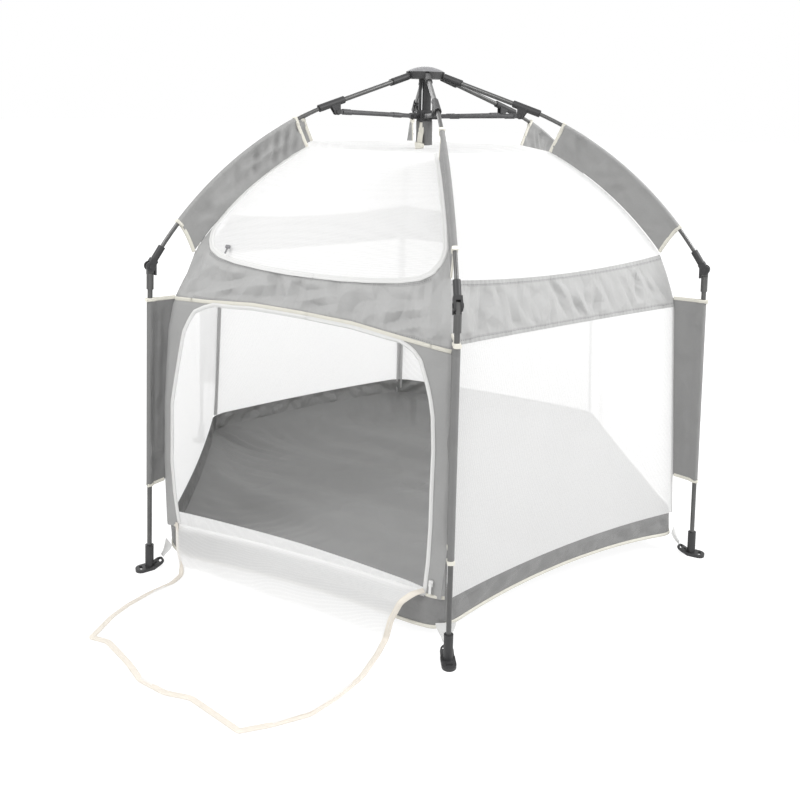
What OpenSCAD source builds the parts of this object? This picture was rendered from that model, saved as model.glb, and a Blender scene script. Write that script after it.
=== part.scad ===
// Six-sided pop-up playpen: a folding umbrella frame stands outside, and a
// fabric and mesh body hangs inside it on webs sewn to the ribs and legs.
// Frame: origin on the centre axis at ground level, +Z up, the door faces -Y.
// Profiles are drawn as [distance from the axis, height] and turned to a side or a leg.

/* [Frame stance] */
// Distance from the centre axis at which a leg's axis meets the ground
foot_radius = 722; // [660:2:780]
// Distance from the centre axis to a knee pin
knee_radius = 661; // [620:1:700]
// Height of the knee pins
knee_height = 670; // [640:2:700]
// Height of the rib pivots on the hub
hub_height = 1047; // [1010:1:1080]
// Distance from the centre axis to a rib pivot
pivot_radius = 38; // [36:1:44]

/* [Ribs] */
// Slope of the inner rib tube below horizontal, in degrees
inner_slope = 17.6; // [15:0.2:20]
// Length of the inner rib tube from its pivot to its end in the bracket
inner_length = 241; // [220:1:262]
// Rise of the outer rod above the straight line from bracket to knee
rod_bow = 39; // [30:1:48]
// Diameter of the inner rib tube
inner_tube_d = 10; // [8:0.5:12]
// Diameter of the outer rod
rod_d = 8; // [6:0.5:10]
// Wall of the steel tubes
tube_wall = 1; // [0.6:0.1:1.5]
// Outer diameter of the plastic sockets on the rib
rib_socket_d = 15; // [14:0.5:17]
// Length of the hub socket on the rib
hub_socket_length = 44; // [30:1:60]
// Length of the bracket sleeve that carries the strut
bracket_length = 56; // [44:1:70]
// Distance of the strut pin from the inner tube's outer end, along the tube
strut_pin_back = 31.6; // [22:0.2:40]
// Distance of the strut pin below the inner tube's axis
strut_pin_drop = 18.6; // [16:0.2:24]

/* [Knees and legs] */
// Diameter of a leg tube
leg_tube_d = 10; // [8:0.5:11]
// Outer diameter of the sockets at the knee
knee_socket_d = 14; // [13:0.5:16]
// Length of each knee socket
knee_socket_length = 34; // [24:1:46]
// Radius of the knee cheeks
knee_cheek_r = 10; // [9:0.5:11.5]
// Thickness of each knee cheek
knee_cheek_t = 4; // [3:0.5:5]
// Thickness of the tongue that turns between the knee cheeks
knee_tongue_t = 7.2; // [6:0.2:9]
// Length of the stop lip below the knee pin
knee_stop_length = 17; // [15:1:24]

/* [Feet] */
// Thickness of the foot plate
foot_plate_t = 7; // [5:0.5:9]
// Width of the foot plate
foot_width = 28; // [26:1:36]
// Reach of the foot's outer lobe past the leg axis, to the stake slot
stake_slot_reach = 18; // [16:1:26]
// Length of the stake slot
stake_slot_length = 16; // [12:1:20]
// Width of the stake slot
stake_slot_width = 6.5; // [5:0.5:8]
// Length of the foot's inner arm
arm_length = 28; // [27:1:36]
// Upward tilt of the inner arm, in degrees
arm_tilt = 25; // [15:1:32]
// Radius of the peg hole in the inner arm
peg_hole_r = 3.5; // [2.5:0.5:4]
// Outer diameter of the socket that holds the leg tube
foot_socket_d = 18; // [15:1:20]
// Height of the socket that holds the leg tube
foot_socket_length = 52; // [36:1:70]

/* [Hub and runner] */
// Radius of the hub plate
hub_radius = 44; // [43:1:48]
// Rise of the domed hub cap
cap_rise = 11.5; // [8:0.5:18]
// Outer diameter of the centre post
post_d = 29; // [26:1:30]
// Length of the centre post below the hub plate
post_length = 144; // [124:2:146]
// Wall of the centre post
post_wall = 3; // [2:0.5:4]
// Distance of the struts' inner pivots on the runner below the rib pivots
runner_drop = 87; // [79:1:97]
// Distance from the centre axis to the struts' inner pivots
runner_pivot_radius = 32; // [30:1:36]
// Height of the runner's body
runner_body_h = 26; // [20:1:27]
// Diameter of a strut
strut_d = 9; // [7:0.5:10]
// Length of the plastic end at each end of a strut
strut_end_length = 36; // [26:1:50]

/* [Fabric body] */
// Width of the web between a rib's rod and the fabric body
rib_web = 60; // [40:1:70]
// Width of the web between a leg and the fabric body at the belt
leg_web_top = 58; // [40:1:70]
// Distance between a leg and the fabric body at the ground
leg_web_bottom = 42; // [42:1:60]
// Height of the base band
band_height = 92; // [60:1:130]
// Distance of the belt's lower edge below the knee pins
belt_below_knee = 82; // [70:2:130]
// Distance of the belt's upper edge above the knee pins, at the corners
belt_above_knee = 30; // [0:2:60]
// Distance of the roof mesh's centre below the rib pivots
roof_drop = 158; // [157:1:176]
// Thickness of the fabric and mesh panels
cloth_t = 1.2; // [0.8:0.1:2]
// Distance from the bracket's end to the top of the rib web, along the rod
web_top_gap = 68; // [40:1:100]
// Distance from the knee pin to the lower end of the rib web, along the rod
web_knee_gap = 105; // [80:1:150]
// Height of the leg web's lower edge
leg_web_low = 182; // [140:2:260]

/* [Door and window] */
// Width of the fabric beside the door opening, at the belt
door_strip = 10.2; // [5:0.2:60]
// Radius of the door opening's upper corners
door_corner_r = 85; // [40:1:120]
// Length of the part of the door flap that lies on the ground
flap_length = 362; // [250:2:380]
// Radius of the door flap's outer corners
flap_corner_r = 130; // [60:2:160]
// Distance from the window's edge to the corners of the fabric body
window_inset = 12; // [8:1:30]
// Width taken off the window's lower corners at the belt, on each side
window_corner = 64; // [40:2:100]
// Rise of the window's zip tape above the belt
window_rise = 6; // [4:1:20]
// Width of the window's zip tape
zip_tape = 9; // [6:1:14]

/* [Clearances] */
// Side clearance of a turning eye or tongue between its cheeks
turn_gap = 0.4; // [0.3:0.1:0.8]
// Radial clearance of a hinge pin in the piece that turns on it
pin_gap = 0.1; // [0.05:0.01:0.2]
// Radial clearance of a tube pushed into its socket
push_gap = 0.05; // [0.02:0.01:0.1]
// Gap between fabric panels, and between fabric and frame
cloth_gap = 0.5; // [0.3:0.1:0.8]

/* [Hidden] */
SIDES = 6;
LEGS = [1 : SIDES];
STEP = 360 / SIDES;
$fn = 48;

PER_LEG = ["rib_rod", "rib_fittings", "rib_sleeve", "leg_tube", "foot", "leg_sleeve", "strut"];

// Rivets, eyes and seats
rivet_r = 2.5;
rivet_head_r = 4.5;
rivet_head_t = 1.5;
hub_eye_r = 6.5;
hub_eye_t = 8;
hub_neck = 10;
hub_seat = 4;
strut_eye_r = 5;
strut_eye_t = 7;
strut_tongue = 33;
cheek_t = 3;
cheek_r = 6.5;
bracket_nose = 8;
ear_flare = 6;
runner_wall = 3.2;
boss_r = 4;
boss_t = 1;
plate_below = 7;
plate_above = 7.5;
cap_wall = 2.5;
arm_t = 6;
arm_start = 8;
peg_hole_x = -10;
foot_socket_start = 6;
foot_seat = 12;
strap_slot_width = 5;
strap_slot_length = 18;
strap_width = 14;
strap_rise = 34;
pull_width = 9;
pull_t = 2;
sleeve_wall = 1.2;
arc_steps = 10;
window_slope = 0.9;

// Zip slider: body, bridge and pull, and where it is parked
slider_size = [4, 8, 12];
bridge_size = [2, 3, 4];
pull_size = [1.2, 5, 21];
door_zip_side = 6;
door_zip_park = 30;
window_zip_park = 12;

// Radial-plane geometry, as [distance from the axis, height]
function polar(centre, r, a) = centre + r * [sin(a), cos(a)];
function unit(v) = v / norm(v);
function left_of(v) = [-v[1], v[0]];
function arc_angle(length, r) = length / r * 180 / PI;

runner_height = hub_height - runner_drop;
roof_centre = hub_height - roof_drop;
belt_bottom = knee_height - belt_below_knee;
belt_top = knee_height + belt_above_knee;
PIVOT = [pivot_radius, hub_height];
KNEE = [knee_radius, knee_height];
FOOT = [foot_radius, 0];
inner_dir = [cos(inner_slope), -sin(inner_slope)];
BEND = PIVOT + inner_length * inner_dir;
rod_chord = norm(KNEE - BEND);
rod_r = (rod_chord * rod_chord / 4 + rod_bow * rod_bow) / (2 * rod_bow);
ROD_CENTRE = (BEND + KNEE) / 2 - (rod_r - rod_bow) * left_of(unit(KNEE - BEND));
bend_angle = atan2(BEND[0] - ROD_CENTRE[0], BEND[1] - ROD_CENTRE[1]);
knee_angle = atan2(KNEE[0] - ROD_CENTRE[0], KNEE[1] - ROD_CENTRE[1]);
STRUT_PIN = PIVOT + (inner_length - strut_pin_back) * inner_dir
    - strut_pin_drop * left_of(inner_dir);
RUNNER_PIN = [runner_pivot_radius, runner_height];
leg_dir = unit(FOOT - KNEE);
leg_length = norm(FOOT - KNEE);
function leg_r(z) = foot_radius + (knee_radius - foot_radius) * z / knee_height;

// Knee: the rib's socket points back along the rod from the pin
knee_reach = 12;
knee_lap = 4;
rod_seat = 2;
leg_seat = 6;
stop_half = 1.7;
stop_rise = 7;
socket_top = knee_reach + knee_socket_length;
rod_dir = unit(polar(ROD_CENTRE, rod_r, knee_angle - arc_angle(socket_top, rod_r)) - KNEE);
knee_half = knee_tongue_t / 2 + turn_gap;
rod_ease = 12 * push_gap;

// Fabric body: its corner line in a leg's radial plane
shell_r = rod_r - rib_web;
web_top_angle = bend_angle + arc_angle(web_top_gap, rod_r);
web_low_angle = knee_angle - arc_angle(web_knee_gap, rod_r);
function arc_point(z) =
    [ROD_CENTRE[0] + sqrt(shell_r * shell_r - pow(z - ROD_CENTRE[1], 2)), z];
BELT_LOW = [leg_r(belt_bottom) - leg_web_top, belt_bottom];
ground_corner = foot_radius - leg_web_bottom;
function wall_corner(z) =
    [ground_corner + (BELT_LOW[0] - ground_corner) * z / belt_bottom, z];
BELT_HIGH = arc_point(belt_top);
ROOF_EDGE = polar(ROD_CENTRE, shell_r, web_top_angle);
belt_angle = atan2(BELT_HIGH[0] - ROD_CENTRE[0], BELT_HIGH[1] - ROD_CENTRE[1]);
DOME_LINE = [for (k = [0 : arc_steps])
    polar(ROD_CENTRE, shell_r, belt_angle + (web_top_angle - belt_angle) * k / arc_steps)];
function to_side(p) = [p[0] * cos(STEP / 2), p[1]];

// Door: its plane is the door side's wall, and the flap hangs just outside it
wall_lean = atan2(
    (ground_corner - BELT_LOW[0]) * cos(STEP / 2), belt_bottom);
sill_z = band_height + 4;
flap_t = 1.4;
flap_off = cloth_gap + flap_t / 2 + 0.5;
crease_z = cloth_gap + flap_t / 2;
flap_edge = 1;
flap_ease = 10;
door_top_gap = 6;
door_width = 2 * (BELT_LOW[0] * sin(STEP / 2) - door_strip);
flap_half = door_width / 2 - flap_ease;
function door_plane(z) = to_side(wall_corner(z)) + [flap_off, 0];
SILL = door_plane(sill_z);
CREASE = door_plane(crease_z);

module at_leg(i) { rotate([0, 0, STEP * (i - 0.5) - 90]) children(); }
module at_side(j) { rotate([0, 0, STEP * j - 90]) children(); }

// Plate in the radial plane: 2D x is the distance from the axis, 2D y the height
module upright(t) { rotate([90, 0, 0]) linear_extrude(t, center = true) children(); }

// Straight round bar between two points of the radial plane
module bar(p, q, d) {
    v = q - p;
    translate([p[0], 0, p[1]]) rotate([0, atan2(v[0], v[1]), 0]) cylinder(d = d, h = norm(v));
}

// Straight tube between two points of the radial plane
module tube(p, q, d) {
    difference() {
        bar(p, q, d);
        bar(p - unit(q - p), q + unit(q - p), d - 2 * tube_wall);
    }
}

// Round bar along a circle of the radial plane, angles taken from the vertical
module arc_bar(centre, r, from, to, d) {
    translate([centre[0], 0, centre[1]]) rotate([90, 0, 0]) rotate([0, 0, 90 - to])
        rotate_extrude(angle = to - from, $fn = 96) translate([r, 0]) circle(d = d);
}

// Pin across the radial plane
module cross_pin(p, r, length) {
    translate([p[0], 0, p[1]]) rotate([90, 0, 0]) cylinder(r = r, h = length, center = true);
}

// Rivet across two cheeks, with a head outside each
module rivet(p, length) {
    cross_pin(p, rivet_r - push_gap, length + 2 * push_gap);
    for (s = [-1, 1])
        translate([0, s * (length / 2 + push_gap + rivet_head_t / 2), 0])
            cross_pin(p, rivet_head_r, rivet_head_t);
}

// Strip along a straight line of the radial plane
module strip(p, q, half) {
    n = half * left_of(unit(q - p));
    polygon([p - n, q - n, q + n, p + n]);
}

// ---- Ribs -----------------------------------------------------------------

// Inner tube and bowed outer rod
module rib_rod(i) {
    color("dimgray") at_leg(i) {
        tube(PIVOT + (hub_neck + hub_seat + cloth_gap) * inner_dir, BEND, inner_tube_d);
        arc_bar(ROD_CENTRE, rod_r, bend_angle + arc_angle(cloth_gap, rod_r),
            knee_angle - arc_angle(knee_reach + rod_seat + 1, rod_r), rod_d);
    }
}

// Eye and socket that turn on the hub
module hub_socket() {
    difference() {
        union() {
            upright(hub_eye_t) {
                translate(PIVOT) circle(hub_eye_r);
                strip(PIVOT, PIVOT + (hub_neck + 1) * inner_dir, hub_eye_r - 1.5);
            }
            bar(PIVOT + hub_neck * inner_dir,
                PIVOT + (hub_neck + hub_socket_length) * inner_dir, rib_socket_d);
        }
        bar(PIVOT + (hub_neck + hub_seat) * inner_dir,
            PIVOT + (hub_neck + hub_socket_length + 1) * inner_dir,
            inner_tube_d + 2 * push_gap);
        cross_pin(PIVOT, rivet_r + pin_gap, hub_eye_t + 2);
    }
}

// Sleeve over the joint of tube and rod, with two ears that hold the strut
module strut_bracket() {
    back = PIVOT + (inner_length - bracket_length) * inner_dir;
    front = PIVOT + (inner_length + bracket_nose) * inner_dir;
    foot = STRUT_PIN + strut_pin_drop * left_of(inner_dir);
    ear_gap = strut_eye_t / 2 + turn_gap;
    flare = cheek_r + ear_flare;
    difference() {
        union() {
            bar(back, front, rib_socket_d);
            for (s = [-1, 1]) translate([0, s * (ear_gap + cheek_t / 2), 0]) upright(cheek_t) {
                translate(STRUT_PIN) circle(cheek_r);
                polygon([STRUT_PIN - cheek_r * inner_dir, foot - flare * inner_dir,
                    foot + flare * inner_dir, STRUT_PIN + cheek_r * inner_dir]);
            }
        }
        bar(back - inner_dir, front + inner_dir, inner_tube_d + 2 * push_gap);
        cross_pin(STRUT_PIN, rivet_r, 2 * ear_gap + 4 * cheek_t);
    }
    rivet(STRUT_PIN, 2 * (ear_gap + cheek_t));
}

// Socket, cheeks and stop lip at the knee
module knee_clevis() {
    top = KNEE + socket_top * rod_dir;
    lip_in = left_of(leg_dir) * -(knee_socket_d / 2 + turn_gap + stop_half);
    difference() {
        union() {
            bar(KNEE + knee_reach * rod_dir, top, knee_socket_d);
            for (s = [-1, 1])
                translate([0, s * (knee_half + knee_cheek_t / 2), 0]) upright(knee_cheek_t) {
                    translate(KNEE) circle(knee_cheek_r);
                    strip(KNEE, KNEE + (knee_reach + knee_lap) * rod_dir, knee_socket_d / 2);
                    strip(KNEE + lip_in - stop_rise * leg_dir,
                        KNEE + lip_in + knee_stop_length * leg_dir, stop_half);
                }
            upright(2 * knee_half + 1) {
                strip(KNEE + (knee_reach - knee_lap) * rod_dir,
                    KNEE + (knee_reach + knee_lap) * rod_dir, knee_socket_d / 2);
                strip(KNEE + lip_in + 2 * leg_dir,
                    KNEE + lip_in + knee_stop_length * leg_dir, stop_half);
            }
        }
        bar(KNEE + (knee_reach + rod_seat) * rod_dir, top + rod_dir, rod_d + rod_ease);
        cross_pin(KNEE, rivet_r, 2 * knee_half + 4 * knee_cheek_t);
    }
    rivet(KNEE, 2 * (knee_half + knee_cheek_t));
}

module rib_fittings(i) {
    color([0.3, 0.3, 0.3]) at_leg(i) {
        hub_socket();
        strut_bracket();
        knee_clevis();
    }
}

// Web and sleeve that hang the dome from the rod
module rib_sleeve(i) {
    outer = rod_r - rod_d / 2 - cloth_gap;
    inner = shell_r + cloth_gap;
    span = web_low_angle - web_top_angle;
    color([0.62, 0.62, 0.62]) at_leg(i) {
        upright(cloth_t) polygon(concat(
            [for (k = [0 : arc_steps])
                polar(ROD_CENTRE, outer, web_top_angle + span * k / arc_steps)],
            [for (k = [arc_steps : -1 : 0])
                polar(ROD_CENTRE, inner, web_top_angle + span * k / arc_steps)]));
        difference() {
            arc_bar(ROD_CENTRE, rod_r, web_top_angle, web_low_angle,
                rod_d + 2 * (cloth_gap + sleeve_wall));
            arc_bar(ROD_CENTRE, rod_r, web_top_angle - 1, web_low_angle + 1,
                rod_d + 2 * cloth_gap);
        }
    }
}

// ---- Legs -----------------------------------------------------------------

// Knee tongue with its socket, and the tube below it
module leg_tube(i) {
    color("dimgray") at_leg(i) {
        difference() {
            union() {
                upright(knee_tongue_t) {
                    translate(KNEE) circle(knee_socket_d / 2);
                    strip(KNEE, KNEE + (knee_reach + knee_lap) * leg_dir, knee_socket_d / 2);
                }
                bar(KNEE + (knee_reach + rod_seat) * leg_dir, KNEE + socket_top * leg_dir,
                    knee_socket_d);
            }
            bar(KNEE + (knee_reach + leg_seat) * leg_dir, KNEE + (socket_top + 1) * leg_dir,
                leg_tube_d + 2 * push_gap);
            cross_pin(KNEE, rivet_r + pin_gap, knee_tongue_t + 2);
        }
        tube(KNEE + (knee_reach + leg_seat + cloth_gap) * leg_dir,
            FOOT - (foot_seat + cloth_gap) * leg_dir, leg_tube_d);
    }
}

// Round-ended slot across the foot
module cross_slot(length, width) {
    run = length - width;
    square([width, run], center = true);
    for (s = [-1, 1]) translate([0, s * run / 2]) circle(d = width);
}

// Plate that stands on the ground, with a stake slot outside the leg
module foot_pad() {
    lobe = foot_width / 2;
    linear_extrude(foot_plate_t) difference() {
        union() {
            translate([foot_radius + stake_slot_reach - 2, 0]) circle(lobe);
            translate([foot_radius - arm_start, -lobe])
                square([stake_slot_reach + arm_start - 2, foot_width]);
        }
        translate([foot_radius + stake_slot_reach, 0])
            cross_slot(stake_slot_length, stake_slot_width);
    }
}

// Arm that rises inwards, with a peg hole and the slot for the corner strap
module foot_arm() {
    end_r = foot_width / 2 - 1;
    translate([foot_radius - arm_start, 0, 0]) rotate([0, arm_tilt, 0]) difference() {
        linear_extrude(arm_t) union() {
            translate([end_r - arm_length, 0]) circle(end_r);
            translate([end_r - arm_length, -end_r]) square([arm_length - end_r, 2 * end_r]);
        }
        translate([peg_hole_x, 0, -1]) cylinder(r = peg_hole_r, h = arm_t + 2);
        translate([strap_slot_x, 0, -1]) linear_extrude(arm_t + 2)
            cross_slot(strap_slot_length, strap_slot_width);
    }
}
strap_slot_x = strap_slot_width * 1.5 - arm_length;
function arm_point(x, z) = [foot_radius - arm_start, 0]
    + x * [cos(arm_tilt), -sin(arm_tilt)] + z * [sin(arm_tilt), cos(arm_tilt)];

module foot(i) {
    color([0.27, 0.27, 0.27]) at_leg(i) difference() {
        union() {
            foot_pad();
            foot_arm();
            bar(FOOT - foot_socket_start * leg_dir,
                FOOT - (foot_socket_start + foot_socket_length) * leg_dir, foot_socket_d);
        }
        bar(FOOT - foot_seat * leg_dir,
            FOOT - (foot_socket_start + foot_socket_length + 1) * leg_dir,
            leg_tube_d + 2 * push_gap);
    }
}

// Web and sleeve that hold the wall's corner to the leg
module leg_sleeve(i) {
    top = KNEE + (knee_height - belt_bottom) / -leg_dir[1] * leg_dir;
    low = KNEE + (knee_height - leg_web_low) / -leg_dir[1] * leg_dir;
    hang = [leg_tube_d / 2 + cloth_gap, 0];
    off = [1.6 * cloth_gap, 0];
    color([0.58, 0.58, 0.58]) at_leg(i) {
        upright(cloth_t) polygon([top - hang, low - hang,
            wall_corner(leg_web_low) + off, wall_corner(belt_bottom) + off]);
        difference() {
            bar(top, low, leg_tube_d + 2 * (cloth_gap + sleeve_wall));
            bar(top - leg_dir, low + leg_dir, leg_tube_d + 2 * cloth_gap);
        }
    }
}

// ---- Hub, runner and struts -------------------------------------------------

// Domed cap over the hub plate
module hub_cap() {
    dome_r = (hub_radius * hub_radius + cap_rise * cap_rise) / (2 * cap_rise);
    color([0.36, 0.36, 0.36])
        translate([0, 0, hub_height + plate_above]) rotate_extrude($fn = 96) difference() {
            intersection() {
                translate([0, cap_rise - dome_r]) circle(dome_r, $fn = 360);
                square([hub_radius, cap_rise]);
            }
            intersection() {
                translate([0, cap_rise - dome_r]) circle(dome_r - cap_wall, $fn = 360);
                square([hub_radius - cap_wall, cap_rise]);
            }
        }
}

// Plate with one slot for each rib's eye
module hub_plate() {
    slot_in = pivot_radius - hub_eye_r - 2 * turn_gap;
    slot_w = hub_eye_t + 2 * turn_gap;
    color([0.3, 0.3, 0.3]) difference() {
        translate([0, 0, hub_height - plate_below])
            cylinder(r = hub_radius, h = plate_below + plate_above, $fn = 96);
        for (i = LEGS) at_leg(i) {
            translate([slot_in, -slot_w / 2, hub_height - plate_below - 1])
                cube([hub_radius, slot_w, plate_below + plate_above + 2]);
            cross_pin(PIVOT, rivet_r, 2 * hub_radius * sin(STEP / 4));
        }
    }
}

// Pins on which the ribs turn
module hub_pins() {
    color("silver") for (i = LEGS) at_leg(i)
        cross_pin(PIVOT, rivet_r - push_gap, hub_eye_t + 2 * turn_gap + 10);
}

// Slotted tube on which the runner slides
module centre_post() {
    top = hub_height - plate_below;
    slot_h = post_length * 0.62;
    color([0.24, 0.24, 0.24]) difference() {
        translate([0, 0, top - post_length]) cylinder(d = post_d, h = post_length);
        translate([0, 0, top - post_length - 1])
            cylinder(d = post_d - 2 * post_wall, h = post_length - 5);
        for (j = [0 : 2]) rotate([0, 0, 120 * j - 90])
            translate([0, -3, top - 8 - slot_h]) cube([post_d, 6, slot_h]);
    }
}

// Ring with a pair of cheeks for each strut
module runner() {
    bore = post_d / 2 + turn_gap;
    gap = strut_eye_t / 2 + turn_gap;
    color([0.3, 0.3, 0.3]) difference() {
        union() {
            translate([0, 0, runner_height - runner_body_h / 2])
                cylinder(r = bore + runner_wall, h = runner_body_h);
            for (i = LEGS) at_leg(i) for (s = [-1, 1])
                translate([0, s * (gap + cheek_t / 2), 0]) {
                    upright(cheek_t) {
                        translate(RUNNER_PIN) circle(cheek_r);
                        translate([bore + 1, runner_height - cheek_r])
                            square([runner_pivot_radius - bore - 1, 2 * cheek_r]);
                    }
                    translate([0, s * (cheek_t + boss_t) / 2, 0])
                        cross_pin(RUNNER_PIN, boss_r, boss_t);
                }
        }
        translate([0, 0, runner_height - runner_body_h])
            cylinder(r = bore, h = 2 * runner_body_h);
    }
}

// Webbing pull below the runner
module pull_strap() {
    low = roof_centre + 2 * cloth_t;
    color([0.93, 0.9, 0.8]) at_side(0)
        translate([post_d / 2 + 2 * turn_gap, -pull_width / 2, low])
            cube([pull_t, pull_width, runner_height - runner_body_h / 2 - cloth_gap - low]);
}

// Strut from the runner to the bracket, with a flat plastic eye at each end.
// The inner eye is long, so that only flat plastic enters the runner's cheeks.
module strut(i) {
    v = STRUT_PIN - RUNNER_PIN;
    length = norm(v);
    grip = strut_end_length * 0.6;
    rod_start = strut_tongue + grip;
    rod_end = length - strut_end_length;
    color([0.3, 0.3, 0.3]) at_leg(i)
        translate([RUNNER_PIN[0], 0, RUNNER_PIN[1]]) rotate([0, -atan2(v[1], v[0]), 0])
            difference() {
                union() {
                    for (x = [0, length]) cross_pin([x, 0], strut_eye_r, strut_eye_t);
                    translate([0, -strut_eye_t / 2, -strut_eye_r + 0.5])
                        cube([length, strut_eye_t, 2 * strut_eye_r - 1]);
                    for (x = [strut_tongue, rod_end])
                        translate([x, 0, 0]) rotate([0, 90, 0]) cylinder(d = strut_d + 2, h = grip);
                    translate([rod_start - rod_seat, 0, 0]) rotate([0, 90, 0])
                        cylinder(d = strut_d, h = rod_end - rod_start + 2 * rod_seat);
                }
                translate([rod_start, 0, 0]) rotate([0, 90, 0]) difference() {
                    cylinder(d = 3 * strut_d, h = rod_end - rod_start);
                    translate([0, 0, -1]) cylinder(d = strut_d, h = length);
                }
                cross_pin([length, 0], rivet_r + pin_gap, strut_eye_t + 2);
            }
}

// ---- Fabric body ------------------------------------------------------------

// Points of a line set inwards by t
function inset_line(line, t) = [for (k = [0 : len(line) - 1])
    let (a = line[max(k - 1, 0)], b = line[min(k + 1, len(line) - 1)])
    line[k] + t * left_of(unit(b - a))];

// Flat or bent panel of side j: a line of the side's mid plane, cut at the two corners
module panel(j, line, t = cloth_t) {
    run = [for (p = line) to_side(p)];
    reach = 2 * foot_radius;
    at_side(j) intersection() {
        upright(reach) polygon(concat(run, [for (k = [len(run) - 1 : -1 : 0])
            inset_line(run, t)[k]]));
        linear_extrude(2 * hub_height) polygon([[cloth_gap, 0],
            [reach, (reach - cloth_gap) * tan(STEP / 2)],
            [reach, -(reach - cloth_gap) * tan(STEP / 2)]]);
    }
}

module floor_panel() {
    color([0.5, 0.5, 0.5]) linear_extrude(2) circle(ground_corner - 2 * cloth_gap, $fn = SIDES);
}

module base_band() {
    low = 2 + cloth_gap;
    color([0.56, 0.56, 0.56]) for (j = [0 : SIDES - 1])
        panel(j, [wall_corner(low), wall_corner(band_height)]);
}

module side_mesh() {
    color([0.95, 0.95, 0.95]) for (j = [1 : SIDES - 1])
        panel(j, [wall_corner(band_height + cloth_gap), wall_corner(belt_bottom - cloth_gap)]);
}

// Door opening drawn on the door side, with round upper corners
module door_outline(half, low, high, r) {
    translate([-half, low]) square([2 * half, high - low - r]);
    translate([r - half, low]) square([2 * (half - r), high - low]);
    for (s = [-1, 1]) translate([s * (half - r), high - r]) circle(r);
}

// Fabric surround of the door
module door_frame() {
    color([0.62, 0.62, 0.62]) difference() {
        panel(0, [wall_corner(band_height + cloth_gap), wall_corner(belt_bottom - cloth_gap)]);
        translate([0, -foot_radius, 0]) rotate([90, 0, 0])
            linear_extrude(2 * foot_radius, center = true)
                door_outline(door_width / 2, sill_z, belt_bottom - door_top_gap, door_corner_r);
    }
}

module belt() {
    color([0.68, 0.68, 0.68]) for (j = [0 : SIDES - 1])
        panel(j, [BELT_LOW, BELT_HIGH]);
}

// Sloping mesh of each side and the flatter roof above it
module dome_mesh() {
    n = len(DOME_LINE) - 1;
    slope = concat([DOME_LINE[0] + [0, cloth_gap]], [for (k = [1 : n]) DOME_LINE[k]]);
    edge = ROOF_EDGE - [2 * cloth_gap, 0];
    color([0.96, 0.96, 0.96]) for (j = [0 : SIDES - 1]) {
        panel(j, slope);
        panel(j, [edge, [2, roof_centre]]);
    }
}

// Half width of the window at a height, less an inset
function window_half(z, inset) = let (corner = arc_point(z)[0] * sin(STEP / 2))
    min(corner, BELT_HIGH[0] * sin(STEP / 2) - window_corner + (z - belt_top) * window_slope)
        - inset;
function window_edge(low, high, inset) = [for (k = [0 : arc_steps])
    let (z = low + (high - low) * k / arc_steps) [window_half(z, inset), z]];
module window_outline(low, high, inset) {
    edge = window_edge(low, high, inset);
    polygon(concat(edge, [for (k = [arc_steps : -1 : 0]) [-edge[k][0], edge[k][1]]]));
}

// Zip tape around the window of the door side
module window_frame() {
    high = ROOF_EDGE[1] - 4;
    low = belt_top + window_rise;
    raise = cloth_t + cloth_gap;
    line = [for (p = DOME_LINE) p + raise / cos(STEP / 2) * unit(p - ROD_CENTRE)];
    color([0.93, 0.93, 0.9]) intersection() {
        panel(0, line);
        rotate([90, 0, 0]) linear_extrude(foot_radius) difference() {
            window_outline(low, high, window_inset);
            window_outline(low + zip_tape, high + 1, window_inset + zip_tape);
        }
    }
}

// Webbing between the body's lower corners and the feet
module corner_straps() {
    top = wall_corner(strap_rise) + [(cloth_t + cloth_gap) / 2, 0];
    end = arm_point(strap_slot_x - strap_slot_width, arm_t + cloth_t / 2 + cloth_gap);
    color("white") for (i = LEGS) at_leg(i)
        upright(strap_width) strip(top, end, cloth_t / 2);
}

// Upper part of the open door flap, hanging from the sill to the ground
module door_drop() {
    along = unit(CREASE - SILL);
    color([0.9, 0.9, 0.9]) at_side(0)
        upright(2 * flap_half)
            strip(SILL + flap_edge * along, CREASE - flap_edge * along, flap_t / 2);
}

// Rest of the open door flap, lying on the ground
module door_flap() {
    start = CREASE[0] + flap_edge;
    r = flap_corner_r;
    color([0.93, 0.93, 0.93]) at_side(0) translate([start, 0, crease_z - flap_t / 2])
        linear_extrude(flap_t) {
            translate([0, -flap_half]) square([flap_length - r, 2 * flap_half]);
            translate([0, r - flap_half]) square([flap_length, 2 * (flap_half - r)]);
            for (s = [-1, 1]) translate([flap_length - r, s * (flap_half - r)]) circle(r);
        }
}

// Zip slider with its pull, drawn flat with the pull hanging down
module zip_slider() {
    translate([0, -slider_size[1] / 2, -slider_size[2] / 2]) cube(slider_size);
    translate([slider_size[0], -bridge_size[1] / 2, -1]) cube(bridge_size);
    translate([slider_size[0], -pull_size[1] / 2, -pull_size[2]]) cube(pull_size);
}

// Slider of the door's zip, parked at its lower end
module door_zip_slider() {
    z = sill_z + door_zip_park;
    p = to_side(wall_corner(z)) + [cloth_gap, 0];
    color([0.2, 0.2, 0.2]) at_side(0) translate([p[0], door_width / 2 + door_zip_side, z])
        rotate([0, -wall_lean, 0]) zip_slider();
}

// Slider of the window's zip, parked near the lower left corner
module window_zip_slider() {
    z = belt_top + window_rise + zip_tape / 2;
    along = unit(to_side(arc_point(z + 1)) - to_side(arc_point(z - 1)));
    p = to_side(arc_point(z)) - (cloth_t + 2.4 * cloth_gap) * left_of(along);
    color([0.2, 0.2, 0.2]) at_side(0)
        translate([p[0], window_zip_park - window_half(z, window_inset), p[1]])
        rotate([0, -90 + atan2(along[1], -along[0]), 0]) zip_slider();
}

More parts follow.
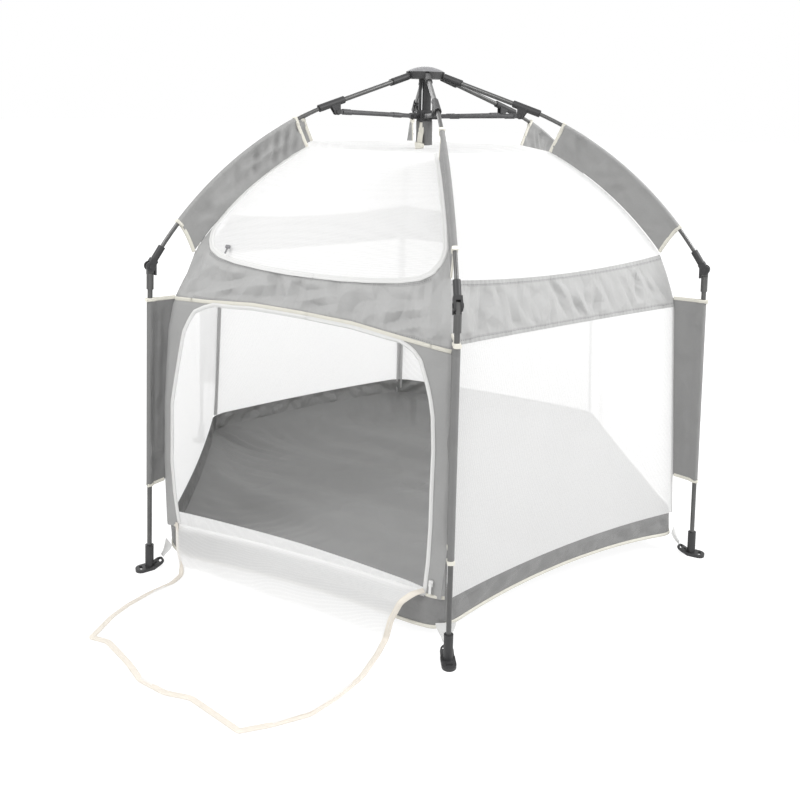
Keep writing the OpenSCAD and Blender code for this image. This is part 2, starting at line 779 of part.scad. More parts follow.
hub_cap();
hub_plate();
hub_pins();
centre_post();
runner();
pull_strap();
floor_panel();
base_band();
side_mesh();
door_frame();
belt();
dome_mesh();
window_frame();
corner_straps();
door_drop();
door_flap();
door_zip_slider();
window_zip_slider();
for (i = LEGS) {
    rib_rod(i);
    rib_fittings(i);
    rib_sleeve(i);
    leg_tube(i);
    foot(i);
    leg_sleeve(i);
    strut(i);
}
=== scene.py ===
"""Looks of a six-sided pop-up playpen: cloth, nets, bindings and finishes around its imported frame."""

import math

import bpy
import numpy as np
from mathutils import Matrix, Vector


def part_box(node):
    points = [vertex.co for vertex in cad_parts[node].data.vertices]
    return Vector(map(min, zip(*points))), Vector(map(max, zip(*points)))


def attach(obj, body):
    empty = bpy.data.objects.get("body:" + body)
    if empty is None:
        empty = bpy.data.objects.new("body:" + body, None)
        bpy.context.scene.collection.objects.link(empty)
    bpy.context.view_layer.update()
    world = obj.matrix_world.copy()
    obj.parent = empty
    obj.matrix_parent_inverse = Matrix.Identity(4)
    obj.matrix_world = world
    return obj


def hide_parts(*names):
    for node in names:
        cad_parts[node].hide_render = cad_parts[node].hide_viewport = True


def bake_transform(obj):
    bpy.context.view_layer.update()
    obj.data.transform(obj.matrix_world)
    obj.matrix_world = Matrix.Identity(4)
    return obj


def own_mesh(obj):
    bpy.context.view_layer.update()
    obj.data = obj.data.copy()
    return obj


bl_info = {
    "name": "Pop-up Playpen",
    "version": (1, 0, 0),
    "blender": (4, 5, 0),
    "location": "3D View > Sidebar > Playpen",
    "description": "Dresses the folding frame of a playpen in cloth, nets and bindings",
    "category": "Object",
}

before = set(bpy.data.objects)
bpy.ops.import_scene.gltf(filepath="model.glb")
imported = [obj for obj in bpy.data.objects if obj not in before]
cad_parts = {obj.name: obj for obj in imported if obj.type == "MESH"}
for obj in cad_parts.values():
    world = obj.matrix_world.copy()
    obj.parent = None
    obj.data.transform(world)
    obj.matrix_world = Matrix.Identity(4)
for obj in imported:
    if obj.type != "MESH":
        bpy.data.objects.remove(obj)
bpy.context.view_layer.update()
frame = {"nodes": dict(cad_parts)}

# ---- Places on the frame, in metres ----

SIDES = 6
STEP = 360 / SIDES
COS, SIN = math.cos(math.radians(STEP / 2)), math.sin(math.radians(STEP / 2))
UP = np.array([0.0, 0.0, 1.0])
TURN = 2 * math.pi

# The rib's rod is an arc in its leg's radial plane, and the dome's corner runs inside it
ROD_CENTRE = (-0.00833, 0.21082)
ROD_R = 0.81169
WEB_DEEP = 0.060
SHELL_R = ROD_R - WEB_DEEP
LEG_TOP, LEG_FOOT = (0.661, 0.670), (0.722, 0.0)
# Distances of the fabric's corners from the axis, and the heights where the cuts meet
GROUND_R, BELT_R = 0.680, 0.61047
SILL_Z, BELT_LOW, BELT_TOP, EDGE_Z = 0.096, 0.588, 0.700, 0.89383
HALF_BELT = BELT_R * SIN
# How far from a corner each kind of cloth starts to round it
WALL_ROUND, FLOOR_ROUND, BAND_ROUND = 0.010, 0.030, 0.040
TAPE_DEEP = 0.0030
MEET = -0.008  # share of the half width where a half's tape ends, just past the middle


def heading(azimuth):
    """Outward and sideways directions of a leg or side, at an azimuth in degrees from the door side."""
    a = math.radians(azimuth)
    return np.array([math.sin(a), -math.cos(a), 0.0]), np.array([math.cos(a), math.sin(a), 0.0])


def leg_heading(i):
    return heading(STEP * (i - 0.5))


def leg_of(side, end):
    """The leg at the left (end -1) or right (end 1) of a side."""
    return side + 1 if end > 0 else (side or SIDES)


def in_plane(i, points):
    """Points given as distance from the axis and height, in the radial plane of leg i."""
    out, _ = leg_heading(i)
    points = np.asarray(points, float)
    return points[..., :1] * out + points[..., 1:] * UP


def by_rod(i, radius, angle):
    """Points in the radial plane of leg i, at a distance from the centre of its rod's arc
    and an angle off upright."""
    flat = np.stack([ROD_CENTRE[0] + radius * np.sin(angle), ROD_CENTRE[1] + radius * np.cos(angle)], 1)
    return in_plane(i, flat)


def ease(t):
    t = np.clip(t, 0.0, 1.0)
    return t * t * (3 - 2 * t)


def rod_radius(z):
    return ROD_CENTRE[0] + np.sqrt(np.maximum(SHELL_R**2 - (z - ROD_CENTRE[1]) ** 2, 0))


def corner_radius(z):
    """Distance of the fabric's corner from the axis at a height: wall, belt, then dome."""
    wall = GROUND_R + (BELT_R - GROUND_R) * z / BELT_LOW
    lean = (z - BELT_LOW) / (BELT_TOP - BELT_LOW)
    belt = BELT_R + (rod_radius(BELT_TOP) - BELT_R) * lean + 0.003 * 4 * lean * (1 - lean)
    return np.select([z <= BELT_LOW, z <= BELT_TOP], [wall, belt], rod_radius(z))


def seam_out(leg, z):
    """How far a leg's seam stands outside the straight corner line: the door's left side is cut fuller."""
    if leg != SIDES:
        return 0.0 * z
    return np.interp(z, [0.05, 0.107, 0.25, 0.386, 0.536, 0.589, 0.65],
                     [0.0, 0.008, 0.019, 0.0235, 0.021, 0.0135, 0.0])


def hem_z(side, f):
    """Height of the lower hem at a share of the side's half width."""
    sizes = bpy.context.scene.playpen_sizes
    if side == 0:
        return sizes.door_hem + (sizes.hem_corner - sizes.door_hem) * np.abs(f) ** 8
    return sizes.hem_corner + (sizes.hem_middle - sizes.hem_corner) * (1 - f**2)


def band_z(side, f):
    return SILL_Z + (0.002 if side == 0 else 0.002 + 0.011 * (1 - f**2))


def belt_low_z(side, f):
    if side:
        return 0.0 * f + BELT_LOW - 0.003
    return np.interp(f * HALF_BELT, [-0.305, -0.235, -0.125, -0.01, 0.1, 0.21, 0.263, 0.305],
                     [0.598, 0.598, 0.603, 0.600, 0.595, 0.582, 0.576, 0.572])


def belt_top_z(side, f):
    """Upper edge of the belt. On the door side it is the lower edge of the window."""
    if side:
        return 0.693 - 0.014 * (1 - f**2)
    return np.interp(np.abs(f), [0, 0.2, 0.42, 0.64, 0.78, 0.87, 0.93, 0.965, 0.985, 1.0],
                     [0.672, 0.6725, 0.676, 0.682, 0.690, 0.702, 0.718, 0.733, 0.748, 0.770])


def bow(z):
    """How far the middle of a side stands inside the straight line between its corners."""
    return np.interp(z, [0.03, 0.098, 0.3, BELT_LOW, BELT_TOP, EDGE_Z],
                     [0.029, 0.012, 0.014, 0.006, 0.007, 0.0])


def on_side(side, f, z, off=0.0, round_off=WALL_ROUND):
    """Points of a side's fabric at the share f of its half width and the height z, off metres proud."""
    f, z = np.broadcast_arrays(np.asarray(f, float), np.asarray(z, float))
    out, along = heading(STEP * side)
    r = corner_radius(z) + f**2 * np.where(f < 0, seam_out(leg_of(side, -1), z), seam_out(leg_of(side, 1), z))
    half = r * SIN
    to_corner = (1 - np.abs(f)) * half
    pull = round_off / 4 * np.clip(1 - to_corner / round_off, 0, 1) ** 2
    across = f * half - np.sign(f) * pull * SIN
    reach = r * COS - bow(z) * (1 - f**2) + off - pull * COS
    return across[..., None] * along + reach[..., None] * out + z[..., None] * UP


def folds(x, y, seed, pitch, lean=0.0, spread=0.25, count=6):
    """Uneven folds of about unit height, a pitch apart along x, leaning by an angle."""
    rng = np.random.RandomState(seed)
    total = np.zeros(np.broadcast(x, y).shape)
    for _ in range(count):
        wave = pitch * rng.uniform(0.6, 1.7)
        tilt = lean + rng.uniform(-spread, spread)
        total += np.sin(TURN * ((x * np.cos(tilt) + y * np.sin(tilt)) / wave + rng.uniform(0, 1)))
    return total / math.sqrt(count)


def crumple(x, y, seed, pitch, count=5, spread=math.pi / 2):
    """Crisp creases with flat facets between them, of about unit height, running up to spread off upright."""
    rng = np.random.RandomState(seed)
    total = np.zeros(np.broadcast(x, y).shape)
    for _ in range(count):
        angle, wave = rng.uniform(-spread, spread), pitch * rng.uniform(0.7, 1.8)
        bend, patch = rng.uniform(0, np.pi, 2)
        sway = 0.3 * np.sin(TURN * ((x * np.cos(bend) + y * np.sin(bend)) / (2.6 * pitch) + rng.uniform(0, 1)))
        run = (x * np.cos(angle) + y * np.sin(angle)) / wave + sway + rng.uniform(0, 1)
        spot = (x * np.cos(patch) + y * np.sin(patch)) / (3.1 * pitch) + rng.uniform(0, 1)
        total += (np.abs(2 * (run % 1) - 1) - 0.5) * 2 * (0.5 + 0.5 * np.sin(TURN * spot))
    return total / math.sqrt(count)


def fade(t, width):
    """1 inside, falling to 0 at both ends of 0 to 1 over a share of it."""
    return ease(t / width) * ease((1 - t) / width)


# ---- Sizes and colours that a user would change ----


def length(name, default, description):
    return bpy.props.FloatProperty(name=name, description=description, default=default, min=0.0,
                                   subtype="DISTANCE", unit="LENGTH")


def shade(name, default, description):
    return bpy.props.FloatVectorProperty(name=name, description=description, default=default,
                                         size=3, min=0.0, max=1.0, subtype="COLOR")


class PlaypenSizes(bpy.types.PropertyGroup):
    hem_corner: length("Hem at corners", 0.045, "Height of the lower hem at the corners")
    hem_middle: length("Hem between corners", 0.064, "Height of the lower hem between two corners")
    door_hem: length("Door hem", 0.025, "Height of the lower hem in the middle of the door side")
    cloth: length("Cloth thickness", 0.0011, "Thickness of the grey cloth")
    binding: length("Binding width", 0.0080, "Width of the cream bindings")
    piping: length("Piping width", 0.0085, "Width of the white zip piping")
    belt_fold: length("Belt folds", 0.0056, "Depth of the gathers in the belt")
    web_fold: length("Web folds", 0.0046, "Depth of the gathers in the rib webs")
    floor_fold: length("Floor folds", 0.0095, "Depth of the wrinkles in the floor")
    flap_fold: length("Flap folds", 0.0035, "Height of the waves in the open flap")
    column: length("Corner column", 0.040, "Width of the belt on each side of a corner seam")
    net_cover: bpy.props.FloatProperty(name="Net cover", description="Share of the net that hides what is behind",
                                       default=0.75, min=0.0, max=1.0, subtype="FACTOR")


class PlaypenColours(bpy.types.PropertyGroup):
    floor: shade("Floor", (0.235, 0.235, 0.233), "Grey cloth of the floor")
    band: shade("Base band", (0.178, 0.178, 0.176), "Grey cloth of the base band")
    strip: shade("Door surround", (0.285, 0.285, 0.282), "Grey cloth beside the door")
    belt: shade("Belt", (0.350, 0.350, 0.347), "Light grey cloth of the belt")
    rib_web: shade("Rib webs", (0.250, 0.250, 0.247), "Grey cloth that hangs from the ribs")
    leg_web: shade("Leg webs", (0.205, 0.205, 0.203), "Dark grey cloth on the legs")
    net: shade("Net", (0.90, 0.90, 0.897), "White net")
    cream: shade("Cream binding", (0.68, 0.662, 0.59), "Binding of the hems")
    peach: shade("Flap binding", (0.71, 0.662, 0.59), "Binding of the door flap")
    white: shade("White tape", (0.60, 0.60, 0.592), "Zip tape, piping and straps")
    steel: shade("Frame steel", (0.082, 0.082, 0.081), "Grey paint on the tubes and rods")
    plastic: shade("Frame plastic", (0.026, 0.026, 0.027), "Dark moulded plastic of hub, knees and feet")


# ---- Shader sums ----


class Value:
    """A number that runs through a finish's nodes: sums on it add Math nodes."""

    def __init__(self, finish, socket):
        self.finish, self.socket = finish, socket

    def _math(self, operation, *values):
        return self.finish.node("ShaderNodeMath", {"operation": operation}, dict(enumerate(values)))

    def __add__(self, other):
        return self._math("ADD", self, other)

    def __sub__(self, other):
        return self._math("SUBTRACT", self, other)

    def __rsub__(self, other):
        return self._math("SUBTRACT", other, self)

    def __mul__(self, other):
        return self._math("MULTIPLY", self, other)

    __radd__, __rmul__ = __add__, __mul__

    def __gt__(self, other):
        return self._math("GREATER_THAN", self, other)

    def __lt__(self, other):
        return self._math("LESS_THAN", self, other)

    def sine(self):
        return self._math("SINE", self)

    def size(self):
        return self._math("ABSOLUTE", self)


class Finish:
    """A material with its surface shader, and one way to add any other node."""

    def __init__(self, name, **constants):
        self.material = bpy.data.materials.new(name)
        self.material.use_nodes = True
        self.tree = self.material.node_tree
        self.surface = self.tree.nodes["Principled BSDF"]
        self.output = self.tree.nodes["Material Output"]
        for socket, value in constants.items():
            self.surface.inputs[socket.replace("_", " ")].default_value = value

    def join(self, socket, value):
        if isinstance(value, Value):
            self.tree.links.new(value.socket, socket)
        else:
            socket.default_value = (*value, 1.0) if isinstance(value, tuple) and len(value) == 3 \
                and socket.type == "RGBA" else value

    def node(self, kind, settings=None, inputs=None, output=0):
        made = self.tree.nodes.new(kind)
        for name, value in (settings or {}).items():
            if name == "stops":
                ramp = made.color_ramp.elements
                for element, (place, level) in zip(ramp, value, strict=True):
                    element.position, element.color = place, (level, level, level, 1)
            else:
                setattr(made, name, value)
        for name, value in (inputs or {}).items():
            self.join(made.inputs[name], value)
        return Value(self, made.outputs[output])

    def feed(self, **links):
        for socket, value in links.items():
            self.join(self.surface.inputs[socket.replace("_", " ")], value)

    def spot(self):
        return self.node("ShaderNodeTexCoord", output="Object")

    def cloth_map(self, name="cloth"):
        spread = self.node("ShaderNodeUVMap", {"uv_map": name})
        return [self.node("ShaderNodeSeparateXYZ", None, {0: spread}, k) for k in (0, 1)]

    def noise(self, scale, detail=2.0, rough=0.5):
        return self.node("ShaderNodeTexNoise", None, {"Vector": self.spot(), "Scale": scale,
                                                      "Detail": detail, "Roughness": rough})

    def mix(self, share, low, high):
        return self.node("ShaderNodeMix", {"data_type": "RGBA"}, {0: share, 6: low, 7: high}, 2)

    def bump(self, height, depth, strength=1.0, under=None):
        inputs = {"Height": height, "Distance": depth, "Strength": strength}
        if under:
            inputs["Normal"] = under
        return self.node("ShaderNodeBump", None, inputs)


THREAD, STITCH, NET_CELL = 0.0014, 0.0046, 0.0021  # pitch of weave and stitches, and width of a net's cells


def tint(colour, factor):
    return tuple(min(1.0, c * factor) for c in colour)


def grey_cloth(name, colour, crinkle=0.010, pitch=15.0, stitched=False, sheen=0.15):
    """Woven polyester: fine plain weave, soft crinkles, a faint sheen, and stitch rows along its hems."""
    cloth = Finish(name, Sheen_Weight=sheen, Sheen_Roughness=0.45)
    u, v = cloth.cloth_map()
    threads = (u * (TURN / THREAD)).sine() * (v * (TURN / THREAD)).sine()
    slub = cloth.noise(260.0, 3.0)
    patches = cloth.noise(9.0, 3.0, 0.6)
    tone = patches * 0.6 + slub * 0.4 + threads * 0.06
    colour_now = cloth.mix(tone, tint(colour, 0.90), tint(colour, 1.10))
    if stitched:
        along, edge = cloth.cloth_map("edge")
        row = (edge - 0.0075).size() < 0.0011
        dash = (along * (TURN / STITCH)).sine() > -0.35
        # A darker line along the hem's fold: painted shade in the crease
        fold = (edge - 0.0098).size() < 0.0007
        colour_now = cloth.mix(row * dash * 0.75 + fold * 0.35, colour_now, tint(colour, 0.45))
    ridges = cloth.noise(pitch, 2.5, 0.45)
    normal = cloth.bump((ridges - 0.5).size(), crinkle)
    cloth.feed(Base_Color=colour_now, Normal=cloth.bump(threads + slub * 0.5, 0.00025, 0.6, normal),
               Roughness=0.52 + patches * 0.16)


def tape_cloth(name, colour, rib=0.0011):
    """Woven tape: ribs across its length, slightly uneven colour and a soft edge."""
    tape = Finish(name, Roughness=0.85, Sheen_Weight=0.05, Sheen_Roughness=0.5)
    _, v = tape.cloth_map()
    ribs = (v * (TURN / rib)).sine()
    cloudy = tape.noise(55.0, 3.0)
    tape.feed(Base_Color=tape.mix(cloudy * 0.75 + ribs * 0.1, tint(colour, 0.9), tint(colour, 1.06)),
              Normal=tape.bump(ribs + cloudy, 0.0003, 0.7))


def zip_tape(name, colour):
    """Zip coil between two tapes: fine teeth along the middle and a seam line at each side."""
    zipped = Finish(name, Roughness=0.55, Sheen_Weight=0.1)
    u, v = zipped.cloth_map()
    teeth = (v * (TURN / 0.0022)).sine()
    seams = (u * (TURN / 0.0062)).sine()
    zipped.feed(Base_Color=zipped.mix(teeth * 0.12 + seams * 0.16 + 0.6, tint(colour, 0.86), tint(colour, 1.05)),
                Normal=zipped.bump(teeth + seams, 0.0004, 0.8))


def net_cloth(name, colour, cover, spread=0.16):
    """Fine white net: threads round small holes, part of the light passing straight through."""
    net = Finish(name, Base_Color=(*colour, 1.0), Roughness=0.85)
    cells = net.node("ShaderNodeTexVoronoi", {"feature": "DISTANCE_TO_EDGE"},
                     {"Vector": net.spot(), "Scale": 1 / NET_CELL, "Randomness": 0.35})
    threads = net.node("ShaderNodeValToRGB", {"stops": [(0.05, 1.0), (0.32, 0.0)]}, {0: cells})
    cloudy = net.noise(7.0, 2.0)
    solid = threads * spread + cloudy * 0.04 + (cover - spread * 0.42 - 0.02)
    through = net.node("ShaderNodeBsdfTranslucent", None, {"Color": colour})
    lit = net.node("ShaderNodeMixShader", None, {0: 0.5, 1: Value(net, net.surface.outputs[0]), 2: through})
    clear = net.node("ShaderNodeBsdfTransparent")
    net.join(net.output.inputs["Surface"], net.node("ShaderNodeMixShader", None, {0: solid, 1: clear, 2: lit}))


def painted_steel(name, colour):
    """Tube with a satin coat: faint drawn streaks and worn spots."""
    steel = Finish(name, Metallic=0.55, Coat_Weight=0.25, Coat_Roughness=0.2)
    blotch = steel.noise(38.0, 4.0, 0.6)
    grain = steel.noise(900.0, 2.0)
    steel.feed(Base_Color=steel.mix(blotch, tint(colour, 0.75), tint(colour, 1.4)),
               Roughness=0.32 + blotch * 0.16, Normal=steel.bump(grain, 0.0001, 0.35))


def moulded_plastic(name, colour, rough=0.42):
    """Moulded nylon with a fine spark grain and scuffed high spots."""
    plastic = Finish(name, Specular_IOR_Level=0.45)
    grain = plastic.noise(1400.0, 2.0)
    scuff = plastic.noise(60.0, 5.0, 0.65)
    worn = plastic.node("ShaderNodeValToRGB", {"stops": [(0.52, 0.0), (0.78, 1.0)]}, {0: scuff})
    plastic.feed(Base_Color=plastic.mix(worn * 0.35, colour, tint(colour, 2.4)),
                 Roughness=rough + scuff * 0.2, Normal=plastic.bump(grain, 0.00012, 0.5))


def bright_pin(name):
    pin = Finish(name, Metallic=1.0)
    grain = pin.noise(700.0, 3.0)
    pin.feed(Base_Color=pin.mix(grain, (0.42, 0.42, 0.42), (0.72, 0.72, 0.71)), Roughness=0.22 + grain * 0.2)


def finishes(scene):
    """All finishes of the playpen, made once."""
    c, cover = scene.playpen_colours, scene.playpen_sizes.net_cover
    for name, colour, factor, *look in (
        ("floor_cloth", c.floor, 1.0, 0.030, 5.0), ("band_cloth", c.band, 1.0, 0.014),
        # The band cloth raised to 1.5 times its colour is painted light, for the far bands seen lit from inside
        ("far_band_cloth", c.band, 1.5, 0.024), ("strip_cloth", c.strip, 1.0, 0.005, 9.0),
        ("belt_cloth", c.belt, 1.0, 0.011, 12.0, True), ("rib_web_cloth", c.rib_web, 1.0, 0.011, 12.0),
        ("leg_web_cloth", c.leg_web, 1.0, 0.010, 12.0), ("skirt_cloth", c.rib_web, 0.42, 0.002),
        # A darker copy of the leg web cloth with less sheen: painted shade for the webs and seams by the door
        ("shade_web_cloth", c.leg_web, 0.75, 0.012, 12.0, False, 0.04),
    ):
        grey_cloth(name, tint(colour, factor), *look)
    for name, factor, *spread in (("net", 1.0), ("window_net", 1.10), ("back_net", 1.12), ("dense_net", 1.28),
                                  ("flap_net", 1.06, 0.10), ("sill_net", 1.18, 0.10)):
        net_cloth(name, tuple(c.net), min(1.0, cover * factor), *spread)
    net_cloth("seam_tape", tint(c.net, 0.8), 0.96, 0.08)
    tape_cloth("cream_tape", tuple(c.cream))
    tape_cloth("peach_binding", tuple(c.peach))
    tape_cloth("white_tape", tuple(c.white), 0.0016)
    zip_tape("zip_tape", tint(c.white, 1.12))
    painted_steel("frame_paint", tuple(c.steel))
    bright_pin("pin_steel")
    for name, colour, factor, *rough in (
        ("frame_nylon", c.plastic, 1.0), ("cap_nylon", c.plastic, 7.0, 0.5),
        ("strut_nylon", c.plastic, 2.4, 0.45), ("post_nylon", c.plastic, 0.7, 0.4),
        ("slider_nylon", c.plastic, 6.0, 0.35), ("white_nylon", c.white, 1.0, 0.35),
    ):
        moulded_plastic(name, tint(colour, factor), *rough)


# ---- Making cloth ----


def grid(name, cols, rows, finish):
    """A plain grid of faces, ready to be laid over a surface, and its corners' shares of width and height."""
    bpy.ops.object.select_all(action="DESELECT")
    bpy.ops.mesh.primitive_grid_add(x_subdivisions=cols, y_subdivisions=rows, size=1.0)
    piece = bpy.context.object
    piece.name = piece.data.name = name
    piece.data.materials.append(bpy.data.materials[finish])
    flat = np.empty(len(piece.data.vertices) * 3)
    piece.data.vertices.foreach_get("co", flat)
    flat = flat.reshape(-1, 3)
    return piece, flat[:, 0] + 0.5, flat[:, 1] + 0.5


def lay(piece, points):
    piece.data.vertices.foreach_set("co", np.ascontiguousarray(points, dtype=np.float32).ravel())
    piece.data.update()


def mark(piece, layer, u, v):
    """Writes a map of the cloth in metres, one value per vertex."""
    data = piece.data
    found = data.uv_layers.get(layer) or data.uv_layers.new(name=layer)
    corner = np.empty(len(data.loops), np.int32)
    data.loops.foreach_get("vertex_index", corner)
    found.data.foreach_set("uv", np.stack([u[corner], v[corner]], 1).astype(np.float32).ravel())


def direction(v):
    return v / np.maximum(np.linalg.norm(v, axis=-1, keepdims=True), 1e-12)


def panel(name, cols, rows, place, finish, thickness=0.0):
    """A cut of cloth laid over place(u, v), with its facing taken from the surface so that cuts meet unseen.
    Stitch rows run along its upper and lower edges."""
    piece, u, v = grid(name, cols, rows, finish)
    points, step = place(u, v), 1e-3
    facing = direction(np.cross(place(u + step, v) - place(u - step, v), place(u, v + step) - place(u, v - step)))
    lay(piece, points)
    order = np.lexsort((np.round(u * cols), np.round(v * rows)))
    spread = points[order].reshape(rows + 1, cols + 1, 3)
    width = np.linalg.norm(np.diff(spread, axis=1), axis=2).sum(1).mean()
    height = np.linalg.norm(np.diff(spread, axis=0), axis=2).sum(0).mean()
    piece.data.uv_layers[0].name = "cloth"
    mark(piece, "cloth", u * width, v * height)
    mark(piece, "edge", u * width, np.minimum(v, 1 - v) * height)
    bpy.ops.object.shade_smooth()
    count = len(points)
    if thickness:
        thick = piece.modifiers.new("thickness", "SOLIDIFY")
        thick.thickness, thick.offset = thickness, 0.0
        bpy.ops.object.modifier_apply(modifier=thick.name)
    loops = np.empty(len(piece.data.loops), np.int32)
    piece.data.loops.foreach_get("vertex_index", loops)
    normals = np.empty((len(loops), 3))
    for face in piece.data.polygons:
        span = slice(face.loop_start, face.loop_start + face.loop_total)
        corner = loops[span]
        outer = corner < count
        if outer.all():
            normals[span] = facing[corner]
        elif not outer.any():
            normals[span] = -facing[corner - count]
        else:
            normals[span] = face.normal
    front = piece.data.polygons[0]
    if Vector(facing[front.vertices[0]]).dot(front.normal) < 0 and front.vertices[0] < count:
        normals = -normals
    piece.data.normals_split_custom_set(normals)
    area = sum(f.area for f in piece.data.polygons) / (2 if thickness else 1)
    piece["cut"] = [float(width), float(height), float(area)]
    return piece


def run_of(path):
    """Distance of each point along a path."""
    return np.concatenate([[0], np.linalg.norm(np.diff(path, axis=0), axis=1).cumsum()])


def sample(path, run, t):
    """Points at t on a path whose own points stand at run."""
    return np.stack([np.interp(t, run, line) for line in path.T], 1)


def tangents(path):
    return direction(np.gradient(path, axis=0))


def loft(name, rings, finish):
    """A closed skin through rings of points, with both ends filled."""
    rings = np.asarray(rings, float)
    rows, around = len(rings) - 1, rings.shape[1]
    piece, u, v = grid(name, around, rows, finish)
    k = np.round(u * around).astype(int)
    m = np.round(v * rows).astype(int)
    lay(piece, rings[m, k % around])
    piece.data.uv_layers[0].name = "cloth"
    mark(piece, "cloth", run_of(np.append(rings[0], rings[0][:1], 0))[k], run_of(rings.mean(1))[m])
    bpy.ops.object.mode_set(mode="EDIT")
    bpy.ops.mesh.select_all(action="SELECT")
    bpy.ops.mesh.remove_doubles(threshold=1e-7)
    bpy.ops.mesh.select_all(action="SELECT")
    bpy.ops.mesh.fill_holes(sides=0)
    bpy.ops.mesh.select_all(action="SELECT")
    bpy.ops.mesh.normals_make_consistent(inside=False)
    bpy.ops.object.mode_set(mode="OBJECT")
    bpy.ops.object.shade_smooth_by_angle(angle=math.radians(50))
    return piece


def tape(name, path, across, width, thickness, finish, around=10, flatness=0.8):
    """A flat band along a path, as wide as given in the across direction.
    Its width and thickness may change on the way."""
    path = np.asarray(path, float)
    ahead = tangents(path)
    across = np.broadcast_to(np.asarray(across, float), path.shape)
    across = direction(across - (across * ahead).sum(1, keepdims=True) * ahead)
    through = np.cross(ahead, across)
    a = np.arange(around) * TURN / around
    wide = np.sign(np.cos(a)) * np.abs(np.cos(a)) ** 0.5
    deep = np.sign(np.sin(a)) * np.abs(np.sin(a)) ** flatness
    across, through = (line * np.broadcast_to(size, len(path))[:, None] / 2
                       for line, size in ((across, width), (through, thickness)))
    rings = path[:, None] + wide[None, :, None] * across[:, None] + deep[None, :, None] * through[:, None]
    return loft(name, rings, finish)


def smooth_path(points, count):
    """A smooth line through a few points, evenly spaced."""
    points = np.asarray(points, float)
    run = run_of(points)
    dense = sample(points, run, np.linspace(0, run[-1], count * 6))
    window = np.hanning(max(5, len(dense) // (2 * len(points))) | 1)
    pad = len(window) // 2
    window /= window.sum()
    first, last = 2 * dense[0] - dense[1:pad + 1][::-1], 2 * dense[-1] - dense[-pad - 1:-1][::-1]
    full = np.concatenate([first, dense, last])
    soft = np.stack([np.convolve(line, window, "valid") for line in full.T], 1)
    run = run_of(soft)
    return sample(soft, run, np.linspace(0, run[-1], count))


def declare(piece, rests_on):
    """Reads the size of a piece's cut."""
    width, height, area = piece["cut"]
    min(area, width * height)


# ---- Fold lines, and the parts that cloth rides on ----


def fold_line(side, end, low, high):
    """The direction across a side that is square to its corner line between two heights, and a point on it."""
    out, along = heading(STEP * side)
    start, stop = (end * corner_radius(z) * SIN * along + corner_radius(z) * COS * out + z * UP
                   for z in (np.float64(low), np.float64(high)))
    run = direction(stop - start)
    across = end * along
    return direction(across - (across @ run) * run), start


def gather(piece, side, end, body="leg", low=0.0, high=BELT_LOW):
    """Half a side rides on its corner's leg or rib."""
    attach(piece, f"{body}_{leg_of(side, end)}")
    axis, anchor = fold_line(side, end, low, high)
    tuple(axis)
    tuple(anchor)
    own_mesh(piece)


def gather_round(piece, body="enclosure"):
    """A wedge rides on a body, the enclosure unless another is given."""
    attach(piece, body)
    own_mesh(piece)


HALVES = [(side, end) for side in range(SIDES) for end in (-1, 1)]


def across_half(end, u, inner=0.0, outer=1.0):
    """Share of the half width at u, which runs from left (0) to right (1) over one half of a side."""
    low, high = (-outer, -inner) if end < 0 else (inner, outer)
    return low + (high - low) * u


def half_name(word, side, end):
    return f"{word}_{side}_{'left' if end < 0 else 'right'}"


class Step:
    """What the operators share: they act on the loaded frame."""

    bl_options = {"REGISTER", "UNDO"}

    def execute(self, context):
        if not frame["nodes"]:
            raise RuntimeError("the playpen's frame is not loaded")
        self.make(context.scene.playpen_sizes)
        return {"FINISHED"}


# ---- Stage ----

CAMERA_PLACE = (0.8224, -1.8103, 0.9834)
CAMERA_AZIMUTH, CAMERA_DIP, CAMERA_ROLL = 24.434, 19.95, 1.439
CAMERA_LENS, CAMERA_SHIFT = 36.54, -0.0215
LAMPS = (  # name, azimuth, elevation, size, power
    ("right", 100, 35, 1.6, 118.0), ("left", -20, 42, 1.6, 66.0),
    ("back", 220, 25, 2.4, 42.0), ("front", 24, 8, 2.4, 10.0),
)
LAMP_AIM, LAMP_REACH = 0.4, 4.0  # height that they point at, and their distance from it


